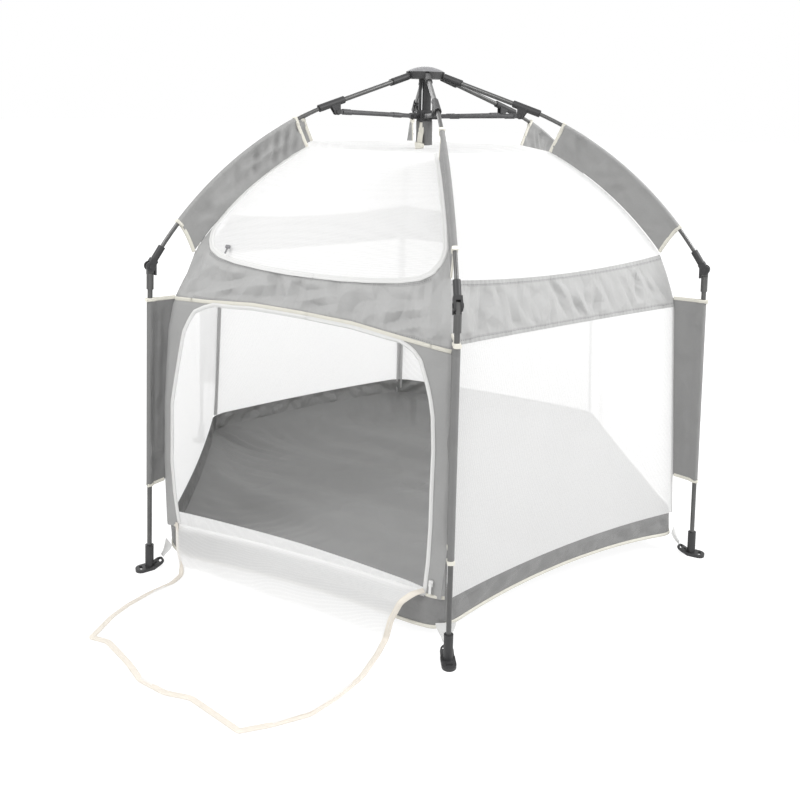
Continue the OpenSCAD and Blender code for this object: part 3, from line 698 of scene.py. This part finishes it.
class PLAYPEN_OT_stage(Step, bpy.types.Operator):
    """Adds the pale floor, the soft lights and the camera"""

    bl_idname = "playpen.stage"
    bl_label = "Stage"

    def make(self, sizes):
        scene = bpy.context.scene
        scene.view_settings.view_transform = "Standard"
        scene.view_settings.look = "None"
        scene.world = scene.world or bpy.data.worlds.new("studio")
        scene.world.use_nodes = True
        sky = scene.world.node_tree.nodes["Background"].inputs
        sky["Color"].default_value, sky["Strength"].default_value = (1.0, 1.0, 1.0, 1.0), 1.0
        bpy.ops.object.select_all(action="DESELECT")
        bpy.ops.mesh.primitive_plane_add(size=60.0)
        ground = bpy.context.object
        ground.name = "studio_floor"
        paper = Finish("studio_paper", Roughness=0.9, Specular_IOR_Level=0.1, Emission_Strength=0.85,
                       Emission_Color=(1.0, 1.0, 1.0, 1.0))
        paper.feed(Base_Color=paper.mix(paper.noise(1.2), (0.24, 0.24, 0.24), (0.26, 0.26, 0.26)))
        ground.data.materials.append(paper.material)
        ground.visible_diffuse = False
        for name, azimuth, lift, size, power in LAMPS:
            lamp = bpy.data.objects.new(name, bpy.data.lights.new(name, "AREA"))
            lamp.data.shape, lamp.data.size, lamp.data.energy = "DISK", size, power
            lamp.visible_camera = False
            lift = math.radians(lift)
            beam = math.cos(lift) * heading(azimuth)[0] + math.sin(lift) * UP
            lamp.location = LAMP_REACH * beam + LAMP_AIM * UP
            lamp.rotation_euler = (Vector((0, 0, LAMP_AIM)) - lamp.location).to_track_quat("-Z", "Y").to_euler()
            scene.collection.objects.link(lamp)
        camera = bpy.data.objects.new("camera", bpy.data.cameras.new("camera"))
        camera.data.lens, camera.data.shift_x = CAMERA_LENS, CAMERA_SHIFT
        out, right = (Vector(v) for v in heading(CAMERA_AZIMUTH))
        dip, roll = math.radians(CAMERA_DIP), math.radians(CAMERA_ROLL)
        back = (out * math.cos(dip) + Vector(UP) * math.sin(dip)).normalized()
        up = back.cross(right)
        cos, sin = math.cos(roll), math.sin(roll)
        turned = (right * cos + up * sin, up * cos - right * sin, back)
        camera.matrix_world = Matrix.Translation(CAMERA_PLACE) @ Matrix(turned).transposed().to_4x4()
        scene.collection.objects.link(camera)
        scene.camera = camera


# ---- Frame ----

FRAME_FINISHES = {
    "hub_cap": "cap_nylon", "hub_plate": "frame_nylon", "hub_pins": "pin_steel", "centre_post": "post_nylon",
    "runner": "frame_nylon", "rib_rod": "frame_paint", "rib_fittings": "frame_nylon", "leg_tube": "frame_paint",
    "foot": "frame_nylon", "strut": "strut_nylon", "door_zip_slider": "white_nylon",
}


class PLAYPEN_OT_frame(Step, bpy.types.Operator):
    """Gives the tubes, hub, knees, struts and feet their finishes"""

    bl_idname = "playpen.frame"
    bl_label = "Frame finishes"

    def make(self, sizes):
        for name, node in frame["nodes"].items():
            kind = name.rstrip("0123456789").rstrip("_")
            if kind in FRAME_FINISHES:
                node.data.materials.clear()
                node.data.materials.append(bpy.data.materials[FRAME_FINISHES[kind]])


# ---- Floor and base band ----

FLOOR_CUTS = 4  # wedges on each side
FLOOR_Z = 0.004


class PLAYPEN_OT_floor(Step, bpy.types.Operator):
    """Lays the wrinkled floor, cut into wedges"""

    bl_idname = "playpen.floor"
    bl_label = "Floor"

    def make(self, sizes):
        corners = [leg_heading(i + 1)[0][:2] * GROUND_R for i in range(SIDES)]
        corner_tan = math.tan(math.radians(STEP / 2))
        for side in range(SIDES):
            for cut in range(FLOOR_CUTS):
                start, stop = (math.tan(math.radians(STEP * (c / FLOOR_CUTS - 0.5))) / corner_tan
                               for c in (cut, cut + 1))

                def place(u, v):
                    f = start + (stop - start) * u
                    rim = on_side(side, f, hem_z(side, f) + 0.006, -0.0020, FLOOR_ROUND)
                    points = rim * v[:, None]
                    x, y = points[:, 0], points[:, 1]
                    level = FLOOR_Z + (rim[:, 2] - FLOOR_Z) * np.clip(v, 0, 1.1) ** 9
                    near = np.min([np.hypot(x - c[0], y - c[1]) for c in corners], axis=0)
                    bearing = np.arctan2(y, x)
                    lift = sizes.floor_fold * (
                        0.55 * folds(x * 0.35, y, 11, 0.16, 1.45, 0.25) + 0.5 * crumple(x * 0.6, y, 13, 0.21)
                        + 0.6 * np.exp(-((near / 0.20) ** 2)) * folds(bearing * 0.6, near, 12, 0.060, 0.0, 0.1)
                    )
                    points[:, 2] = level + (lift + 0.6 * sizes.floor_fold) * fade(np.clip(v, 0, 1), 0.08)
                    return points

                wedge = panel(f"floor_{side}_{cut + 1}", 14, 60, place, "floor_cloth", sizes.cloth)
                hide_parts("floor_panel")
                gather_round(wedge)
                declare(wedge, ["base_band"])


class PLAYPEN_OT_base_band(Step, bpy.types.Operator):
    """Sews the base band and its cream hem, and the binding on top of it beside the door"""

    bl_idname = "playpen.base_band"
    bl_label = "Base band"

    def make(self, sizes):
        for side, end in HALVES:
            # Sides 2 to 4 take the lighter copy of the band cloth, painted light on their inner faces, and deeper
            # folds
            finish, depth = ("far_band_cloth", 1.7) if side in (2, 3, 4) else ("band_cloth", 1.0)

            def place(u, v):
                f = across_half(end, u)
                z = hem_z(side, f) + (band_z(side, f) - hem_z(side, f)) * v
                x = f * GROUND_R * SIN
                slack = fade(v, 0.3) * (0.55 + 0.45 * np.abs(f) ** 3) * ease((1 - np.abs(f)) / 0.06)
                lift = (0.0030 * folds(x, z, 30 + side, 0.060, 0.75 * end)
                        + 0.0034 * crumple(x, z, 36 + side, 0.05)) * slack * depth
                return on_side(side, f, z, lift, BAND_ROUND)

            band = panel(half_name("base_band", side, end), 60, 10, place, finish, sizes.cloth)
            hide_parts("base_band")
            gather(band, side, end)
            declare(band, ["leg_tube_1"])
            f = across_half(end, np.linspace(0, 1, 60))
            edges = [("hem_binding", f, hem_z(side, f) - 0.002, 1.0)]
            if side == 0:
                f = np.linspace(0.87, 1.0, 16)[::end] * end
                edges.append(("sill_binding", f, band_z(side, f), 0.9))
            for word, f, z, share in edges:
                binding = tape(half_name(word, side, end), on_side(side, f, z, 0.0010, BAND_ROUND), UP,
                               sizes.binding * share, TAPE_DEEP, "cream_tape")
                gather(binding, side, end)


# ---- Walls and door surround ----


def door_edge(z, end):
    """Distance of the door opening's edge from the middle of the door side."""
    if end < 0:
        return np.interp(z, [0.10, 0.13, 0.178, 0.247, 0.383, 0.44, 0.495, 0.536, 0.562, 0.579, 0.590, 0.597],
                         [0.303, 0.307, 0.3115, 0.3145, 0.3094, 0.300, 0.290, 0.282, 0.270, 0.259, 0.237, 0.215])
    return np.interp(z, [0.10, 0.167, 0.24, 0.308, 0.387, 0.45, 0.480, 0.507, 0.550, 0.564, 0.570, 0.580],
                     [0.287, 0.290, 0.2895, 0.2863, 0.2841, 0.278, 0.2715, 0.263, 0.2458, 0.232, 0.2234, 0.2016])


def sill_top(x):
    """Height of the pale strip along the sill, above which the doorway is open."""
    return np.interp(x, [-0.31, -0.148, 0.003, 0.12, 0.246, 0.29], [0.135, 0.130, 0.1268, 0.1216, 0.1155, 0.111])


# The seam inside each leg: its width, its distance behind the net and its finish
# Legs 1 and 6 take the darker copy of the leg web cloth: painted shade in the seam between web and door surround
SEAMS = {1: (0.003, 0.001, "shade_web_cloth"), 2: (0.0055, 0.001, "white_tape"), 3: (0.009, 0.0035, "seam_tape"),
         4: (0.017, 0.0060, "seam_tape"), 5: (0.012, 0.0035, "seam_tape"), 6: (0.003, 0.001, "shade_web_cloth")}


class PLAYPEN_OT_walls(Step, bpy.types.Operator):
    """Hangs the five net walls with their corner seams, and the cloth beside the door"""

    bl_idname = "playpen.walls"
    bl_label = "Walls"

    def make(self, sizes):
        for side, end in HALVES:
            if side == 0:
                self.surround(sizes, end)
            else:
                self.net(side, end)
            leg = leg_of(side, end)
            width, depth, finish = SEAMS[leg]
            z = np.linspace(0.012 if leg == 4 else band_z(side, 1.0), float(belt_low_z(side, float(end))), 40)
            # Wide seams are moved in, so that the two halves meet at the corner
            f = end * (0.994 - max(0.0, width - 0.009) / (2 * HALF_BELT)) + 0.0 * z
            seam = tape(half_name("corner_seam", side, end), on_side(side, f, z, -depth),
                        heading(STEP * side)[1], width, 0.0016, finish)
            gather(seam, side, end)

    def net(self, side, end):
        def place(u, v):
            f = across_half(end, u)
            z0, z1 = band_z(side, f), belt_low_z(side, f)
            sway = 0.0012 * folds(f * 0.3, v * 0.5, 50 + side, 0.24) * fade(v, 0.2)
            return on_side(side, f, z0 + (z1 - z0) * v, sway)

        finish = "back_net" if side in (3, 4, 5) else "net"
        wall = panel(half_name("net_wall", side, end), 26, 36, place, finish)
        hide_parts("side_mesh")
        gather(wall, side, end)
        declare(wall, ["belt"])

    def surround(self, sizes, end):
        """The cloth between the doorway and the corner seam, the pale strip on the sill, and half of the zip."""

        def place(u, v):
            t = u if end > 0 else 1 - u
            z = SILL_Z + (belt_low_z(0, end * (0.55 + 0.45 * t)) - SILL_Z) * v
            half = (corner_radius(z) + seam_out(leg_of(0, end), z)) * SIN
            sliver = 0.011 * ease((0.21 - z) / 0.11) if end > 0 else 0.0
            x = door_edge(z, end) + (half - sliver - door_edge(z, end)) * t
            return on_side(0, end * x / half, z, 0.0012 * crumple(t * 0.04, z, 60 + end, 0.07) * fade(t, 0.3))

        strip = panel(half_name("door_surround", 0, end), 14, 90, place, "strip_cloth", sizes.cloth)
        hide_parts("door_frame")
        gather(strip, 0, end)
        declare(strip, ["belt"])

        def sill(u, v):
            x = door_edge(0.11, end) * across_half(end, u, 0.0, 0.94) / 0.94
            z = SILL_Z - 0.004 + (sill_top(x) + 0.004 - SILL_Z) * v
            half = corner_radius(z) * SIN
            return on_side(0, x / half, z, 0.0012 + 0.0012 * folds(x, z, 64, 0.05) * fade(v, 0.3))

        strip = panel(half_name("sill_strip", 0, end), 50, 6, sill, "sill_net")
        gather(strip, 0, end)
        declare(strip, ["base_band"])
        z = np.append(np.linspace(SILL_Z, 0.562 if end < 0 else 0.55, 60),
                      [0.579, 0.590, 0.597] if end < 0 else [0.564, 0.570, 0.580])
        f = np.linspace(end * 0.58, end * MEET, 30)
        line = smooth_path(np.concatenate([np.stack([end * door_edge(z, end), z], 1),
                                           np.stack([f * HALF_BELT, belt_low_z(0, f) - 0.004], 1)]), 130)
        half = (corner_radius(line[:, 1]) + seam_out(leg_of(0, end), line[:, 1])) * SIN
        slope = tangents(line)
        piping = tape(half_name("door_zip", 0, end), on_side(0, line[:, 0] / half, line[:, 1], 0.0010),
                      slope[:, 1:] * heading(0)[1] - slope[:, :1] * UP, sizes.piping, TAPE_DEEP, "zip_tape")
        gather(piping, 0, end)


# ---- Belt ----


class PLAYPEN_OT_belt(Step, bpy.types.Operator):
    """Sews the gathered belt, with a column at each corner"""

    bl_idname = "playpen.belt"
    bl_label = "Belt"

    def make(self, sizes):
        inner = 1 - sizes.column / HALF_BELT
        corner_by_corner = HALVES[1:] + HALVES[:1]
        for word, halves, cols, *span in (("belt", HALVES, 110, 0.0, inner),
                                          ("belt_corner", corner_by_corner, 16, inner, 1.0)):
            for side, end in halves:
                def place(u, v):
                    return self.surface(sizes, side, across_half(end, u, *span), v)

                rod = 1 if word == "belt" else leg_of(side, end)
                piece = panel(half_name(word, side, end), cols, 30, place, "belt_cloth", sizes.cloth)
                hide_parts("belt")
                self.hold(piece, side, end, word == "belt_corner")
                declare(piece, [f"rib_rod_{rod}"])
        for end in (-1, 1):
            half = np.linspace(MEET, 1, 80)[::end] * end
            for word, part in (("belt_binding", np.abs(half) <= inner + 0.01),
                               ("belt_corner_binding", np.abs(half) >= inner - 0.01)):
                path = on_side(0, half[part], belt_low_z(0, half[part]) + 0.003, 0.0016)
                binding = tape(half_name(word, 0, end), path, UP, sizes.binding, TAPE_DEEP, "cream_tape")
                self.hold(binding, 0, end, word == "belt_corner_binding")

    @staticmethod
    def surface(sizes, side, f, v):
        """The belt's surface: gathers stand between two hems, and lie down at the corners."""
        z0, z1 = belt_low_z(side, f), belt_top_z(side, f)
        height = z1 - z0
        x, z = f * HALF_BELT, z0 + height * v
        slack = ease(v * height / 0.022) * ease((1 - v) * height / 0.022) * ease((1 - np.abs(f)) / 0.10)
        if side:
            lift = (0.9 * crumple(x, z, 70 + side, 0.038, 4, 0.22) + 0.35 * folds(x, z, 80 + side, 0.060, -0.15)
                    + 0.35 * crumple(x, z, 85 + side, 0.055))
        else:
            lift = 0.4 * folds(x, z, 90, 0.085, 0.75, 0.5) + 2.0 * crumple(x, z, 91, 0.056, 6)
        pucker = 0.0005 * np.sin(TURN * x / 0.011) * np.exp(-(((0.5 - np.abs(v - 0.5)) * height / 0.012) ** 2))
        return on_side(side, f, z, sizes.belt_fold * lift * slack + pucker + 0.0004)

    @staticmethod
    def hold(piece, side, end, corner):
        """A corner column stays where it is sewn; the rest of the belt rides on its corner's leg."""
        if corner:
            i = leg_of(side, end)
            top, low = in_plane(i, [(rod_radius(BELT_TOP), BELT_TOP), (BELT_R, BELT_LOW)])
            tuple(top)
            tuple(low)
            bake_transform(piece)
        else:
            gather(piece, side, end)


# ---- Dome, window and roof ----

ROOF_Z, TIE_R = 0.889, 0.014  # the roof's height and radius where it is tied to the runner


class PLAYPEN_OT_dome(Step, bpy.types.Operator):
    """Stretches the net over the dome, with the zipped window on the door side, and the roof above it"""

    bl_idname = "playpen.dome"
    bl_label = "Dome"

    def make(self, sizes):
        for side, end in HALVES:
            def place(u, v):
                f = across_half(end, u)
                z0 = belt_top_z(side, f)
                return on_side(side, f, z0 + (EDGE_Z - z0) * v)

            finish = "dense_net" if side in (1, 2) else "window_net"
            net = panel(half_name("window_net" if side == 0 else "dome_net", side, end), 30, 26, place, finish)
            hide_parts("dome_mesh")
            self.fold(net, side, end)
            declare(net, [f"rib_rod_{leg_of(side, end)}"])
            self.roof(side, end)
            if side == 0:
                self.piping(sizes, end)

    @staticmethod
    def fold(piece, side, end):
        gather(piece, side, end, "rib", BELT_TOP, EDGE_Z)

    @staticmethod
    def roof(side, end):
        def place(u, v):
            f = across_half(end, u)
            level = on_side(side, f, 0.0 * f + EDGE_Z) * [1, 1, 0]
            tie = direction(level) * TIE_R
            points = tie + (level - tie) * v[:, None]
            points[:, 2] = ROOF_Z + (EDGE_Z - ROOF_Z) * v - 0.006 * np.sin(np.pi * np.clip(v, 0, 1))
            return points

        roof = panel(half_name("roof_net", side, end), 16, 20, place, "window_net")
        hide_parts("dome_mesh")
        gather_round(roof, "sliding_runner")
        declare(roof, ["sliding_runner"])

    def piping(self, sizes, end):
        """Half of the window's zip, up its side from the middle of the belt, and on the left its slider."""
        f, rise = np.linspace(MEET, 0.975, 60), np.linspace(0.772, EDGE_Z, 30)
        f, z = np.append(f, 0.0 * rise + 0.982), np.append(belt_top_z(0, f), rise)
        path = smooth_path(on_side(0, end * f, z, 0.0012), 140)
        facing = direction(0.66 * UP + 0.75 * heading(0)[0])
        piece = tape(half_name("window_zip", 0, end), path, np.cross(tangents(path), facing),
                     sizes.piping * 1.3, 0.0026, "zip_tape")
        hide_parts("window_frame")
        self.fold(piece, 0, end)
        if end < 0:
            self.slider(facing)

    @staticmethod
    def slider(facing):
        """The window's zip slider with its pull."""
        low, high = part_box("window_zip_slider")
        centre, parts = (low + high) / 2, []
        turn = Vector(facing).to_track_quat("Z", "Y")
        for size, shift in (((0.011, 0.007, 0.0045), (0.0, 0.0)), ((0.0035, 0.015, 0.0018), (0.0, -0.0085))):
            bpy.ops.object.select_all(action="DESELECT")
            bpy.ops.mesh.primitive_cube_add(size=1.0)
            part = bpy.context.object
            part.scale = size
            bpy.ops.object.transform_apply(location=False, rotation=False, scale=True)
            soft = part.modifiers.new("soft", "BEVEL")
            soft.width, soft.segments = min(size) * 0.3, 3
            bpy.ops.object.modifier_apply(modifier=soft.name)
            part.location = centre + turn @ Vector((*shift, 0.0))
            part.rotation_euler = turn.to_euler()
            bpy.ops.object.transform_apply(location=True, rotation=True, scale=False)
            parts.append(part)
        bpy.ops.object.select_all(action="DESELECT")
        for part in parts:
            part.select_set(True)
        bpy.context.view_layer.objects.active = parts[0]
        bpy.ops.object.join()
        pull = bpy.context.object
        pull.name = pull.data.name = "window_zip_pull"
        pull.data.materials.append(bpy.data.materials["slider_nylon"])
        bpy.ops.object.shade_smooth_by_angle(angle=math.radians(40))
        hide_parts("window_zip_slider")
        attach(pull, "window_slider")
        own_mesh(pull)


# ---- Webs on ribs and legs ----

RIB_SLEEVE, LEG_SLEEVE = 0.0052, 0.0066  # radius of the sleeves that hold rods and leg tubes
SLEEVE_TURN = 110  # how far a sleeve goes round its rod on each side, in degrees
WEB_HALF = 0.0008  # half the thickness of a web
LEG_SLANT = 0.006  # how much higher a leg web's lower edge is at the seam than at the leg


class Webs(Step):
    """What the webs on ribs and legs share."""

    @staticmethod
    def section(depth, sleeve, count):
        """A web's section, out from its rod and aside: down one face, round the sleeve, up the other face."""
        a = np.radians(np.linspace(-SLEEVE_TURN, SLEEVE_TURN, count))
        return (np.concatenate([-depth[::-1], sleeve * np.cos(a), -depth]),
                np.concatenate([0 * depth - WEB_HALF, sleeve * np.sin(a), 0 * depth + WEB_HALF]))

    @staticmethod
    def sew(kind, i, rings, finish):
        web = loft(f"{kind}_web_{i}", rings, finish)
        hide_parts(f"{kind}_sleeve_{i}")
        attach(web, f"{kind}_{i}")

    @staticmethod
    def bind(kind, i, word, path, across, width, thickness):
        binding = tape(f"{kind}_binding_{word}_{i}", path, across, width, thickness, "cream_tape")
        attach(binding, f"{kind}_{i}")


class PLAYPEN_OT_rib_webs(Webs, bpy.types.Operator):
    """Sews the web and sleeve on each rib, bound in cream at both ends"""

    bl_idname = "playpen.rib_webs"
    bl_label = "Rib webs"

    def make(self, sizes):
        off, aside = self.section(np.append(np.linspace(0.010, 0.052, 9), WEB_DEEP - 0.0005), RIB_SLEEVE, 13)
        share = np.clip(-off / WEB_DEEP, 0, 1)
        edge = np.linspace(-0.11, 1, 30)
        thickness = 0.0034 + 0.0086 * ease((0.20 - edge) / 0.09)
        for i in range(1, SIDES + 1):
            along = leg_heading(i)[1]
            top, low = math.radians(26.48 if i == 1 else 24.68), math.radians(48.14)
            slant, calm = math.radians(2.1 if i == SIDES else 1.35), {1: 0.4, 2: 0.7}.get(i, 1.0)
            rings = []
            for v in np.linspace(0, 1, 90):
                angle = top + (low + slant * share**1.5 - top) * v
                run = SHELL_R * (angle - top)
                slack = np.sin(np.pi * share) ** 0.7 * (0.35 + 0.65 * fade(v, 0.12)) * calm
                waves = (0.5 * folds(run, off, 110 + i, 0.060, 0.9, 0.25) + crumple(run, off, 120 + i, 0.042)
                         + 1.1 * np.exp(-v / 0.3) * folds(run, off, 140 + i, 0.022, 0.7, 0.1))
                sag = sizes.web_fold * slack * waves
                rings.append(by_rod(i, ROD_R + off, angle) + (aside + sag)[:, None] * along)
            # Rib web 1 takes the darker leg web cloth: painted shade on the front web
            self.sew("rib", i, rings, "leg_web_cloth" if i == 1 else "rib_web_cloth")
            for word, start, stop in (("top", top, top), ("low", low, low + slant)):
                path = by_rod(i, ROD_R - edge * WEB_DEEP, start + (stop - start) * np.clip(edge, 0, 1) ** 1.5)
                self.bind("rib", i, word, path, np.cross(tangents(path), along), sizes.binding, thickness)


class PLAYPEN_OT_leg_webs(Webs, bpy.types.Operator):
    """Sews the web and sleeve on each leg, bound in cream at both ends"""

    bl_idname = "playpen.leg_webs"
    bl_label = "Leg webs"

    def make(self, sizes):
        edge = np.linspace(-0.16, 1.0, 30)
        thickness = 0.0036 + 0.0114 * ease((0.24 - edge) / 0.09)
        for i in range(1, SIDES + 1):
            out, along = leg_heading(i)
            low, top = {1: 0.204, 2: 0.187, SIDES: 0.201}.get(i, 0.195), 0.603
            rings = []
            for v in np.linspace(0, 1, 70):
                z = low + (top - low) * v
                leg_r = self.leg_radius(z)
                inner = self.seam_radius(i, z) - 0.0022
                off, aside = self.section(0.004 + np.linspace(0.16, 1.0, 10) * (leg_r - 0.004 - inner),
                                          LEG_SLEEVE, 11)
                x, share = leg_r + off, np.clip(-off / (leg_r - inner), 0, 1)
                slack = np.sin(np.pi * share) ** 0.7 * fade(v, 0.1)
                y = aside + slack * (0.0028 * folds(0.3 * z, x, 130 + i, 0.030, 1.4, 0.3)
                                     + 0.0036 * crumple(0 * x + z, x, 136 + i, 0.07))
                rise = z + LEG_SLANT * share * (1 - v)
                rings.append(x[:, None] * out + y[:, None] * along + rise[:, None] * UP)
            # Legs 1 and 6 take the darker copy of the leg web cloth: painted shade
            self.sew("leg", i, rings, "shade_web_cloth" if i in (1, SIDES) else "leg_web_cloth")
            for word, z, lift in (("top", top, 0.0), ("low", low, LEG_SLANT)):
                leg_r = self.leg_radius(z)
                x = leg_r - edge * (leg_r - self.seam_radius(i, z))
                path = in_plane(i, np.stack([x, z + lift * np.clip(edge, 0, 1)], 1))
                self.bind("leg", i, word, path, UP, sizes.binding, thickness)

    @staticmethod
    def leg_radius(z):
        return LEG_FOOT[0] + (LEG_TOP[0] - LEG_FOOT[0]) * z / LEG_TOP[1]

    @staticmethod
    def seam_radius(i, z):
        return float(corner_radius(np.float64(z)) + seam_out(i, np.float64(z)))


# ---- Straps ----


class PLAYPEN_OT_straps(Step, bpy.types.Operator):
    """Adds the straps from the corners to the feet, and the pull below the runner"""

    bl_idname = "playpen.straps"
    bl_label = "Straps"

    def make(self, sizes):
        for i in range(1, SIDES + 1):
            line = [(0.6735, 0.052), (0.6765, 0.044), (0.684, 0.031), (0.6915, 0.0225)]
            path = smooth_path(in_plane(i, line), 16)
            width = 0.040 - 0.024 * ease(np.linspace(0, 1, len(path)))
            strap = tape(f"corner_strap_{i}", path, leg_heading(i)[1], width, 0.0014, "white_tape", 12, 0.7)
            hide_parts("corner_straps")
            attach(strap, f"leg_{i}")
        low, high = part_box("pull_strap")
        mid, y = (low.x + high.x) / 2, (low.y + high.y) / 2
        loop = smooth_path([(mid, y, high.z), (mid + 0.001, y - 0.002, 0.925), (mid - 0.002, y - 0.004, 0.905),
                            (mid, y - 0.006, low.z + 0.002), (mid + 0.001, y - 0.009, 0.905),
                            (mid + 0.002, y - 0.007, 0.925)], 50)
        pull = tape("pull_strap_loop", loop, (1, 0, 0), 0.013, 0.0016, "cream_tape")
        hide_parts("pull_strap")
        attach(pull, "sliding_runner")
        turns = np.linspace(0, 2 * TURN, 60)
        curl = np.stack([mid + 0.011 * np.cos(turns) * (1 - turns / 60), y - 0.008 + 0.007 * np.sin(turns),
                         low.z + 0.004 + 0.004 * np.sin(turns / 2)], 1)
        knot = tape("pull_strap_knot", curl, UP, 0.0075, 0.0020, "cream_tape")
        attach(knot, "sliding_runner")
        slit = math.radians(12)
        around = np.linspace(slit, TURN - slit, 41) - TURN / 4
        for half in (0, 1):
            def place(u, v):
                a = np.interp(20 * (u + half), np.arange(41), around)
                r = 0.0182 + 0.0012 * np.sin(5 * a) * (1 - v)
                return np.stack([r * np.cos(a), r * np.sin(a), 0.897 + 0.052 * v], 1)

            skirt = panel(f"runner_skirt_{half + 1}", 20, 12, place, "skirt_cloth", sizes.cloth)
            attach(skirt, "sliding_runner")
            declare(skirt, ["runner"])


# ---- Door flap ----

FLAP_LEFT = [(-0.306, -0.588, 0.085), (-0.300, -0.598, 0.050), (-0.288, -0.604, 0.014),
             (-0.274, -0.622, 0.004), (-0.271, -0.656, 0.003), (-0.288, -0.710, 0.003), (-0.296, -0.760, 0.003),
             (-0.295, -0.806, 0.003), (-0.281, -0.872, 0.003)]
FLAP_RIGHT = [(0.270, -0.594, 0.102), (0.252, -0.609, 0.087), (0.238, -0.622, 0.050),
              (0.234, -0.634, 0.014), (0.235, -0.667, 0.004), (0.239, -0.741, 0.003), (0.226, -0.807, 0.003),
              (0.207, -0.864, 0.003), (0.163, -0.914, 0.003), (0.123, -0.950, 0.003)]
FLAP_END = [(-0.281, -0.872, 0.003), (-0.243, -0.868, 0.003), (-0.163, -0.899, 0.003), (-0.110, -0.925, 0.003),
            (-0.048, -0.932, 0.003), (0.0, -0.922, 0.003), (0.066, -0.937, 0.003), (0.123, -0.950, 0.003)]


class PLAYPEN_OT_flap(Step, bpy.types.Operator):
    """Lays the open door flap over the sill and out on the ground"""

    bl_idname = "playpen.flap"
    bl_label = "Door flap"

    def make(self, sizes):
        sill = on_side(0, np.linspace(-0.913, 0.86, 80), 0.106, 0.0035)
        left, right = (smooth_path([tuple(sill[k])] + line, 80) for k, line in ((0, FLAP_LEFT), (-1, FLAP_RIGHT)))
        far = smooth_path(FLAP_END, 80)
        share = np.linspace(0, 1, 80)

        def place(u, v):
            low, high = (sample(line, share, u) for line in (sill, far))
            start, end = (sample(line, share, v) for line in (left, right))
            w, s = u[:, None], v[:, None]
            spot = (1 - s) * low + s * high + (1 - w) * start + w * end - (
                (1 - w) * (1 - s) * left[0] + w * (1 - s) * right[0] + (1 - w) * s * left[-1] + w * s * right[-1])
            waves = folds(spot[:, 0], spot[:, 1], 150, 0.16, 0.5, 0.9) * 0.6 + 0.6
            spot[:, 2] += sizes.flap_fold * ease((v - 0.25) / 0.2) * np.maximum(waves, 0)
            hanging = ease(v / 0.05) * ease((0.30 - v) / 0.10)
            spot[:, 1] -= hanging * (0.003 + 0.0022 * folds(spot[:, 0], 0.4 * spot[:, 2], 151, 0.10, 0.2, 0.3))
            return spot

        flap = panel("door_flap_net", 80, 100, place, "flap_net")
        edge = smooth_path(np.concatenate([left, far[1:-1], right[::-1]]), 300) + [0, 0, 0.0012]
        inward = direction(np.array([-0.03, -0.72, 0.0]) - edge) * [1, 1, 0.2]
        binding = tape("door_flap_binding", edge, inward, 0.0120, 0.0030, "peach_binding")
        for piece in (flap, binding):
            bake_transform(piece)
        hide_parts("door_flap", "door_drop")
        declare(flap, ["base_band"])


# ---- Panel and registration ----

STEPS = (
    PLAYPEN_OT_stage, PLAYPEN_OT_frame, PLAYPEN_OT_floor, PLAYPEN_OT_base_band, PLAYPEN_OT_walls, PLAYPEN_OT_belt,
    PLAYPEN_OT_dome, PLAYPEN_OT_rib_webs, PLAYPEN_OT_leg_webs, PLAYPEN_OT_straps, PLAYPEN_OT_flap,
)


class PLAYPEN_PT_sidebar(bpy.types.Panel):
    bl_label = "Playpen"
    bl_idname = "PLAYPEN_PT_sidebar"
    bl_space_type = "VIEW_3D"
    bl_region_type = "UI"
    bl_category = "Playpen"

    def draw(self, context):
        for group in (context.scene.playpen_sizes, context.scene.playpen_colours):
            box = self.layout.box()
            for name in group.__annotations__:
                box.prop(group, name)
        for step in STEPS:
            self.layout.operator(step.bl_idname)


CLASSES = (PlaypenSizes, PlaypenColours, *STEPS, PLAYPEN_PT_sidebar)


def register():
    for cls in CLASSES:
        bpy.utils.register_class(cls)
    bpy.types.Scene.playpen_sizes = bpy.props.PointerProperty(type=PlaypenSizes)
    bpy.types.Scene.playpen_colours = bpy.props.PointerProperty(type=PlaypenColours)


def unregister():
    del bpy.types.Scene.playpen_colours
    del bpy.types.Scene.playpen_sizes
    for cls in reversed(CLASSES):
        bpy.utils.unregister_class(cls)


def main():
    register()
    finishes(bpy.context.scene)
    for step in STEPS:
        getattr(bpy.ops.playpen, step.bl_idname.split(".")[1])()
    bpy.ops.object.select_all(action="DESELECT")


if __name__ == "__main__":
    main()
